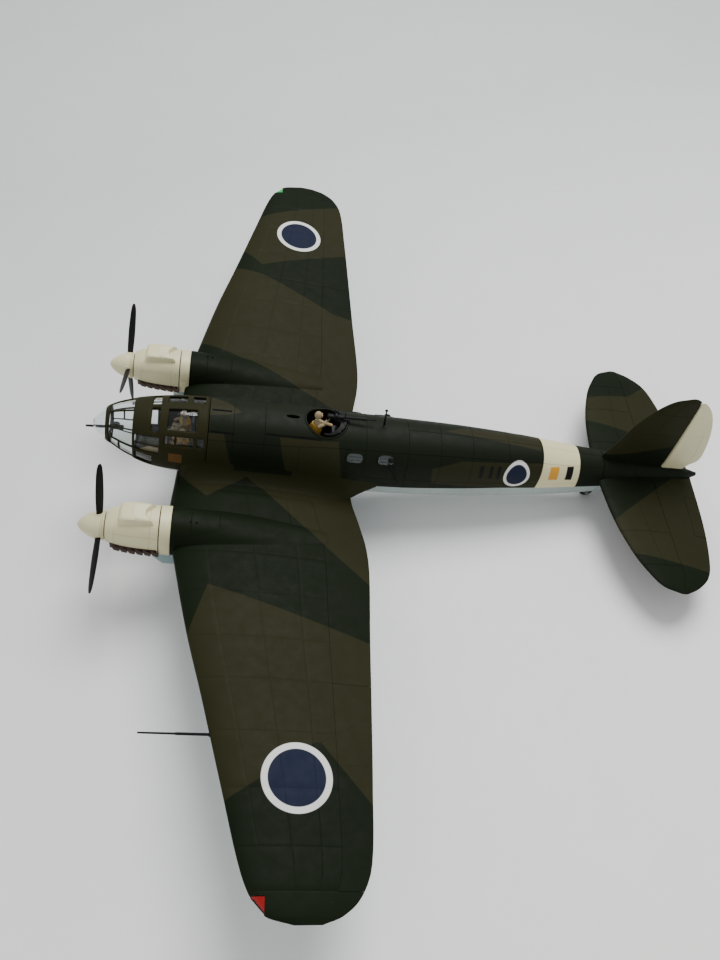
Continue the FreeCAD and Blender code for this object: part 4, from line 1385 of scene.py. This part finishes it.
def make_engine(side, label):
    y = side * ENGINE_Y
    rows = []
    for x in with_lines([9.75, 9.9, 10.2, 10.7] + steps(11.2, COWL_REAR - 0.22, 26), COWL_SEAMS):
        row = []
        for a in with_lines(turns(60), COWL_LINES, 0.8):
            low = is_line(x, COWL_SEAMS) or (is_line(a, COWL_LINES) and COWL_SEAMS[0] < x < 26)
            row.append(nacelle(side, x, a, -GROOVE_DEPTH * 1.3 if low else 0.0))
        rows.append(row)
    shape = closed(rows)
    add_scoop(shape, y)
    piece("cowling_%s_skin" % label, shape, CREAM_PAINT, ("cowling_" + label,), sharp=28)

    edge = [(COWL_REAR + 0.12, -0.5), (COWL_REAR + 0.14, 0.0), (27.1, 0.1)]
    edge += [(RING_REAR - 0.2, 0.1), (RING_REAR, 0.0)]
    band = piece(
        "cowl_ring_%s_band" % label,
        closed([[nacelle(side, x, a, out) for a in turns(72)] for x, out in edge]),
        [CREAM_PAINT, PALE_PAINT],
        ("cowl_ring_" + label,),
    )
    pale_below(band, RING_PALE_Z)

    rows = []
    for x in with_lines([RING_REAR + 0.1] + steps(31, 89.6, 56), NACELLE_SEAMS):
        depth = -GROOVE_DEPTH if is_line(x, NACELLE_SEAMS) else 0.0
        rows.append([nacelle(side, x, a, depth) for a in turns(60)])
    body = piece(
        "nacelle_%s_skin" % label,
        closed(rows),
        [WING_PAINT[side], PALE_PAINT],
        ("nacelle_" + label,),
        sharp=28,
    )
    pale_below(body, NACELLE_PALE_Z)
    carve(body, [Shape().slab(37.5, 62.0, y - 5.3, y + 5.3, -16, -7.0)])

    make_nacelle_blend(side, label)
    marks = Shape()
    for x in (36.6, 38.5):
        spot = nacelle(side, x, side * 8, -0.3)
        cap = ((0.0, 0.0), (0.0, 0.42), (0.36, 0.42), (0.42, 0.34), (0.42, 0.0))
        marks.lathe(cap, spot, (0, 0, 1), 18)
    piece("nacelle_%s_caps" % label, marks, DARK_CAPS_AND_PAINTED_SHADE)


BLEND = 3.6
BLEND_REACH = 11.5
BLEND_DEPTH = 0.8


def make_nacelle_blend(side, label):
    """A low skin that carries the nacelle's back smoothly into the wing."""
    rows = []
    inner = []
    for x in steps(33.5, 82.0, 46):
        half, low, high = along(COWL_STATIONS, x)
        middle, rise = (low + high) / 2, (high - low) / 2
        row = []
        for offset in steps(-BLEND_REACH, BLEND_REACH, 46):
            span = ENGINE_Y + side * offset
            front, rear = along(WING_STATIONS, span)[:2]
            share = min(max((x - front) / (rear - front), 0.0), 1.0)
            wing_top = wing_point(side, span, share, True).z
            out = abs(offset) / half
            crown = middle + rise * max(1 - out ** COWL_SHAPE, 0.0) ** (1 / COWL_SHAPE)
            crown -= max(out - 1, 0.0) * half * 2.5
            gap = max(BLEND - abs(crown - wing_top), 0.0) / BLEND
            height = max(crown, wing_top) + gap ** 2 * BLEND / 4 - 0.15 * (1 - gap)
            row.append(Vector((x, side * ENGINE_Y + offset, height)))
        rows.append(row)
        inner.append([point - Vector((0, 0, BLEND_DEPTH)) for point in row])
    skin = Shape().plate(rows, inner)
    piece("nacelle_blend_" + label, skin, WING_PAINT[side], sharp=50)


SCOOP_FRONT = 14.0
SCOOP_REAR = 22.2
SCOOP_PRONG = 2.8
SCOOP_FOOT = 4.6


def add_scoop(shape, y):
    """The flat intake on the cowling's roof, its rear edge hollowed between two prongs."""
    places = (
        (0.0, 3.5, 7.9),
        (0.03, 3.75, 8.7),
        (0.09, 3.9, 9.15),
        (0.2, 3.95, 9.35),
        (0.50, 3.95, 9.5),
        (0.52, 3.95, 9.42),
        (0.54, 3.95, 9.5),
        (0.8, 3.85, 9.4),
        (1.0, 3.7, 9.1),
    )

    def reach(share, j):
        return SCOOP_FRONT + (SCOOP_REAR + SCOOP_PRONG * abs(j) ** 2.2 - SCOOP_FRONT) * share

    rows = []
    for share, half, top in places:
        row = []
        for j in steps(-1, 1, 20):
            row.append(Vector((reach(share, j), y + half * j, top - 1.3 * abs(j) ** 12)))
        for j in steps(1, -1, 20):
            row.append(Vector((reach(share, j), y + half * 0.96 * j, SCOOP_FOOT)))
        rows.append(row)
    shape.grid(rows, wrap=True, caps=True)


def make_exhausts():
    pipes = Shape()
    mouths = Shape()
    for side, _label in SIDES:
        y = side * ENGINE_Y
        for out in (-1, 1):
            rows = []
            for x in steps(11.2, 26.3, 20):
                wall = nacelle(side, x, out * 90).y
                rows.append([
                    Vector((x, wall - out * 0.6, -1.7)),
                    Vector((x, wall + out * 0.12, -1.8)),
                    Vector((x, wall + out * 0.12, -4.0)),
                    Vector((x, wall - out * 0.6, -4.1)),
                ])
            pipes.grid(rows, wrap=True, caps=True)
            for i in range(6):
                x = 12.2 + 2.5 * i
                wall = nacelle(side, x, out * 90).y
                start = Vector((x, wall - out * 0.5, -2.8))
                bend = Vector((x + 0.9, wall + out * 0.75, -3.0))
                end = Vector((x + 2.3, wall + out * 1.0, -3.2))
                pipes.tube([start, bend, end], [0.80, 0.78, 0.70], 14)
                # A dark plug at the end of each pipe: painted shade of its open bore.
                mouth = [end - Vector((0.3, 0, 0)), end + Vector((0.04, out * 0.01, 0))]
                mouths.tube(mouth, [0.5, 0.5], 12)
    piece("exhaust_stubs", pipes, EXHAUST, ("exhausts",), sharp=40)
    piece("exhaust_mouths", mouths, DARK_CAPS_AND_PAINTED_SHADE)


def make_radiators():
    shape = Shape()
    core = Shape()
    for side, _label in SIDES:
        y = side * ENGINE_Y
        rings = (
            (26.2, 2.9, -11.3, -8.4),
            (24.8, 3.1, -11.4, -8.2),
            (24.5, 3.5, -11.7, -8.0),
            (25.0, 4.0, -12.3, -7.0),
            (28.0, 5.5, -13.9, -6.4),
            (31.0, 5.5, -14.0, -6.2),
            (34.0, 5.2, -13.6, -6.0),
            (36.6, 4.6, -11.9, -6.0),
            (36.4, 4.2, -11.5, -6.6),
            (34.8, 4.1, -11.4, -6.8),
        )
        rows = []
        for x, half, low, high in rings:
            row = [ring_point(x, half, low, high, 3.5, math.radians(a), 0, y) for a in turns(48)]
            rows.append(row)
        shape.grid(rows, wrap=True, caps=True)
        core.slab(26.0, 26.15, y - 2.9, y + 2.9, -11.2, -8.5, 0.04)
        for i in range(7):
            across = y - 2.4 + 0.8 * i
            core.slab(25.6, 26.1, across - 0.06, across + 0.06, -11.1, -8.6)
        core.slab(34.9, 35.1, y - 4.0, y + 4.0, -11.2, -7.0, 0.04)
    piece("radiator_baths", shape, PALE_PAINT, ("radiators",))
    piece("radiator_cores", core, MATRIX)


# share of the radius, chord, angle from the shaft in degrees, thickness
BLADE = (
    (0.08, 1.8, 60.0, 1.3),
    (0.25, 2.5, 52.0, 0.9),
    (0.50, 3.1, 46.0, 0.7),
    (0.78, 2.9, 42.0, 0.5),
    (0.94, 2.2, 40.0, 0.4),
    (1.00, 1.1, 39.0, 0.3),
)
PROP_RADIUS = 23.4
BLADE_X = 7.5


def make_propeller(side, label):
    y = side * ENGINE_Y
    body = label + "_propeller"
    first = blade_turn(label)
    shape = Shape()
    turned = [first + math.radians(120) * i for i in range(3)]
    for turn in turned:
        rows = []
        for share in steps(0.08, 0.94, 16) + [0.96, 0.98, 0.99, 1.0]:
            chord, pitch, thick = along(BLADE, share)
            a = math.radians(pitch)
            run = Vector((math.sin(a), math.cos(a), 0)) * (chord / 2)
            face = Vector((math.cos(a), -math.sin(a), 0)) * (thick / 2)
            row = []
            for t in circle(18):
                lean = run * math.cos(t) + face * signed_power(math.sin(t), 1.3)
                point = Vector((BLADE_X, 0, PROP_RADIUS * share)) + lean
                row.append(Matrix.Rotation(turn, 3, "X") @ point + Vector((0, y, 0)))
            rows.append(row)
        shape.grid(rows, wrap=True, caps=True)
    piece("propeller_%s_blades" % label, shape, BLACK_PLASTIC, ("propeller_" + label,), body)

    profile = [(0.42, 0.0)]
    for share in steps(0.03, 1, 18):
        radius = 4.7 * (1 - (1 - share) ** 1.9) ** 0.66
        profile.append((0.42 + 7.7 * share, radius))
    profile += [(8.2, 4.55), (8.3, 4.82), (8.6, 4.84), (8.68, 4.55), (8.76, 4.84), (9.05, 4.84)]
    profile += [(9.13, 4.6), (9.3, 4.6), (9.3, 0.0)]
    nose = Shape().lathe(profile, (0, y, 0), (1, 0, 0), 56)
    for turn in turned:
        spoke = Matrix.Rotation(turn, 3, "X") @ Vector((0, 0, 1))
        foot = Vector((BLADE_X, y, 0))
        rim = ((3.3, 1.5), (4.55, 1.5), (4.72, 1.3), (4.72, 0.6))
        nose.lathe(rim, foot, spoke, 24)
    piece("spinner_%s_shell" % label, nose, CREAM_PAINT, ("spinner_" + label,), body)


def blade_turn(label):
    """The angle of the first blade from upright, read from the propeller's tips in the frame."""
    hub = in_aircraft(label + "_propeller_spin")
    points = [FROM_ROW @ v.co - hub for v in frame["nodes"]["propeller_" + label].data.vertices]
    best = max(points, key=lambda p: math.hypot(p.y, p.z))
    reach = math.hypot(best.y, best.z)
    tips = [p for p in points if math.hypot(p.y, p.z) > reach - 0.05]
    near = [p for p in tips if (p.y * best.y + p.z * best.z) > 0.9 * reach * reach]
    middle = sum(near, Vector()) / len(near)
    return math.atan2(-middle.y, middle.z)


# ================= undercarriage =================
def mirrored(half):
    return [(-a, r) for a, r in half[::-1]]


def make_main_wheel(side, label):
    centre = (AXLE.x, side * ENGINE_Y, AXLE.z)
    profile = [
        (-1.75, 4.6), (-2.45, 5.0), (-2.78, 5.7), (-2.8, 6.2), (-2.62, 6.9), (-2.1, 7.45), (-1.3, 7.74),
        (-1.22, 7.6), (-1.06, 7.6), (-0.98, 7.82), (-0.5, 7.88), (-0.42, 7.7), (-0.26, 7.7), (-0.18, 7.9),
    ]
    profile += mirrored(profile)
    tyre = Shape().lathe(profile, centre, (0, 1, 0), 72, closed=True)
    piece("tyre_%s_tread" % label, tyre, RUBBER, ("tyre_" + label,), label + "_wheel", sharp=40)

    half = [
        (2.6, 1.06), (2.6, 1.7), (2.2, 1.95), (1.4, 2.5), (1.15, 3.0), (1.15, 3.9), (1.5, 4.1), (1.74, 4.35),
        (1.74, 4.6),
    ]
    hub = Shape().lathe(half + mirrored(half), centre, (0, 1, 0), 60, closed=True)
    for out in (-1, 1):
        for a in circle(8):
            spot = Vector(centre) + Vector((3.4 * math.cos(a), out * 1.15, 3.4 * math.sin(a)))
            hub.lathe(((-0.1, 0.0), (-0.1, 0.32), (0.22, 0.28), (0.22, 0.0)), spot, (0, out, 0), 12)
    stands_for = ("wheel_hub_" + label,)
    piece("wheel_hub_%s_casting" % label, hub, GREY_PLASTIC, stands_for, label + "_wheel")


def make_gear_doors():
    shape = Shape()
    for side, _label in SIDES:
        for out in (-1, 1):
            y0 = side * ENGINE_Y + out * 5.55
            rows = []
            for x in steps(38.2, 60.8, 18):
                share = (x - 38.2) / 22.6
                low = -15.9 + 3.6 * share ** 2 + 1.5 * (1 - share) ** 4
                row = []
                for t in steps(0, 1, 8):
                    row.append(Vector((x, y0 + out * 0.45 * math.sin(t * math.pi), -7.7 + (low + 7.7) * t)))
                for t in steps(1, 0, 8):
                    inner = y0 + out * 0.45 * math.sin(t * math.pi) - out * 0.02
                    row.append(Vector((x, inner - out * 0.3, -7.7 + (low + 7.7) * t)))
                rows.append(row)
            shape.grid(rows, wrap=True, caps=True)
            for x in steps(41.0, 58.0, 4):
                shape.tube([(x, y0 - out * 0.25, -8.2), (x, y0 - out * 0.05, -12.4)], [0.25, 0.2], 8)
    piece("wheel_bay_doors", shape, PALE_PAINT, ("gear_doors",))


def make_tail_wheel():
    centre = (TAIL_AXLE.x, 0, TAIL_AXLE.z)
    half = [(0.8, 0.56), (0.8, 1.0), (0.5, 1.3), (0.5, 1.7), (0.78, 1.9), (0.8, 2.3), (0.62, 2.66), (0.3, 2.85)]
    profile = half + [(0.0, 2.9)] + mirrored(half)
    wheel = Shape().lathe(profile, centre, (0, 1, 0), 48, closed=True)
    piece("tail_wheel_tyre", wheel, RUBBER, ("tail_wheel",), "rear_wheel", sharp=40)


def make_gear_details():
    shape = Shape()
    for side, _label in SIDES:
        y = side * ENGINE_Y
        for out in (-1, 1):
            leg_y = y + out * 4.4
            shape.lathe(collar(0.7, 0.7, 1.0), (AXLE.x + 0.9, leg_y, -14.3), (0.15, 0, 1), 20)
            brake_line = [
                (AXLE.x + 1.9, leg_y - out * 0.9, -8.4),
                (AXLE.x + 0.9, leg_y - out * 0.95, -19.0),
            ]
            shape.tube(brake_line, [0.16, 0.16], 8)
        shape.tube([(AXLE.x + 1.6, y - 4.4, -10.6), (AXLE.x + 1.6, y + 4.4, -10.6)], [0.42, 0.42], 12)
    piece("gear_leg_fittings", shape, STEEL)


# ================= parts kept from the frame =================
KEPT = (
    (GREY_PLASTIC, ("gear_leg_port", "gear_leg_starboard", "tail_fork")),
    (COCKPIT_GREY, ("cockpit_floor", "cockpit_bulkhead", "crew_seats", "gun_pedestal")),
    (STEEL, ("main_axle_port", "main_axle_starboard", "tail_axle", "belly_screws")),
    (STEEL, ("prop_shaft_port", "prop_shaft_starboard")),
    (BRASS, ("prop_bushes",)),
    (PALE_PAINT, ("ventral_gondola",)),
    (RED_LENS, ("nav_light_port",)),
    (GREEN_LENS, ("nav_light_starboard",)),
)


def paint_kept_nodes():
    for material, names in KEPT:
        for name in names:
            mesh = frame["nodes"][name].data
            if not mesh.materials:
                mesh.materials.append(material)
            for i in range(len(mesh.materials)):
                mesh.materials[i] = material


def make_gondola_windows():
    glass = Shape()
    rims = Shape()
    for side in (-1, 1):
        for x in (54.0, 62.5, 78.0, 86.5):
            rims.slab(x - 2.9, x + 2.9, side * 5.9, side * 6.32, -15.0, -11.9, 0.12)
            glass.slab(x - 2.4, x + 2.4, side * 6.2, side * 6.42, -14.6, -12.3, 0.1)
    piece("gondola_window_rims", rims, GREY_PLASTIC)
    piece("gondola_window_panes", glass, GLASS)


# ================= studio =================
CAMERA_ANGLES = (-15.45, 49.92, 16.67)
CAMERA_AIM = (95.2, -9.6, 0.0)
CAMERA_DISTANCE = 302.8
LENS = 31.1
WORLD_STRENGTH = 0.62
KEY_POWER = 7.5
FILL_POWER = 0.8


def make_camera():
    """The camera at the photograph's angle: azimuth, elevation and roll in degrees."""
    azimuth, elevation, roll = [math.radians(angle) for angle in CAMERA_ANGLES]
    back = Vector((
        math.sin(azimuth) * math.cos(elevation),
        -math.cos(azimuth) * math.cos(elevation),
        math.sin(elevation),
    ))
    right = (-back).cross(Vector((0, 0, 1))).normalized()
    up = back.cross(right)
    leaned = math.cos(roll) * right + math.sin(roll) * up
    raised = math.cos(roll) * up - math.sin(roll) * right
    place = Vector(CAMERA_AIM) + back * CAMERA_DISTANCE
    data = bpy.data.cameras.new("camera")
    data.lens = LENS
    data.sensor_width = 36.0
    data.clip_start = 0.01
    data.clip_end = 20.0
    camera = bpy.data.objects.new("camera", data)
    bpy.context.collection.objects.link(camera)
    spin = TO_ROW.to_3x3() @ Matrix((leaned, raised, back)).transposed() * (1 / MM)
    camera.matrix_world = Matrix.Translation(TO_ROW @ place) @ spin.to_4x4()
    bpy.context.scene.camera = camera


def area_light(name, place, aim, size, power):
    data = bpy.data.lights.new(name, "AREA")
    data.shape = "DISK"
    data.size = size
    data.energy = power
    lamp = bpy.data.objects.new(name, data)
    bpy.context.collection.objects.link(lamp)
    lamp.location = place
    lamp.rotation_mode = "QUATERNION"
    lamp.rotation_quaternion = (Vector(aim) - Vector(place)).to_track_quat("-Z", "Y")


def make_studio():
    n = Nodes("pale_floor")
    # The floor's colour runs darker towards starboard and the nose and lighter towards port and the tail: a
    # painted light falloff across the floor.
    across = n.node("ShaderNodeVectorMath", {0: n.place, 1: (0.45, -1.0, 0.0)}, operation="DOT_PRODUCT")
    tone = n.fit(across.outputs["Value"], -220.0, 260.0, 0.0, 1.0)
    colour = n.mix(tone, (0.62, 0.635, 0.63, 1), (0.97, 0.97, 0.955, 1))
    n.finish(colour, rough=(0.5, 0.62), bump=0.0, grain=0.02, mottle=0.012)
    bpy.ops.mesh.primitive_plane_add(size=6.0, location=(0, 0, 0))
    floor = bpy.context.object
    floor.name = "floor"
    floor.data.materials.append(n.material)
    world = bpy.data.worlds.new("soft_room")
    world.use_nodes = True
    background = world.node_tree.nodes["Background"]
    background.inputs["Color"].default_value = (0.98, 0.99, 1.0, 1)
    background.inputs["Strength"].default_value = WORLD_STRENGTH
    bpy.context.scene.world = world
    area_light("key", (0.15, 0.35, 0.75), (0, 0, 0), 0.55, KEY_POWER)
    area_light("fill", (-0.65, -0.45, 0.55), (0, 0, 0), 0.7, FILL_POWER)


make_camera()
make_fuselage()
make_coaming()
make_roof_slots()
make_nose()
make_nose_details()
make_crew()
make_dorsal_gun()
make_beam_windows()
make_wings()
make_root_fairings()
make_tailplanes()
make_fin()
make_pitot()
for gear_side, gear_label in SIDES:
    make_engine(gear_side, gear_label)
    make_propeller(gear_side, gear_label)
    make_main_wheel(gear_side, gear_label)
make_exhausts()
make_radiators()
make_gear_doors()
make_gear_details()
make_tail_wheel()
make_gondola_windows()
paint_kept_nodes()
make_studio()
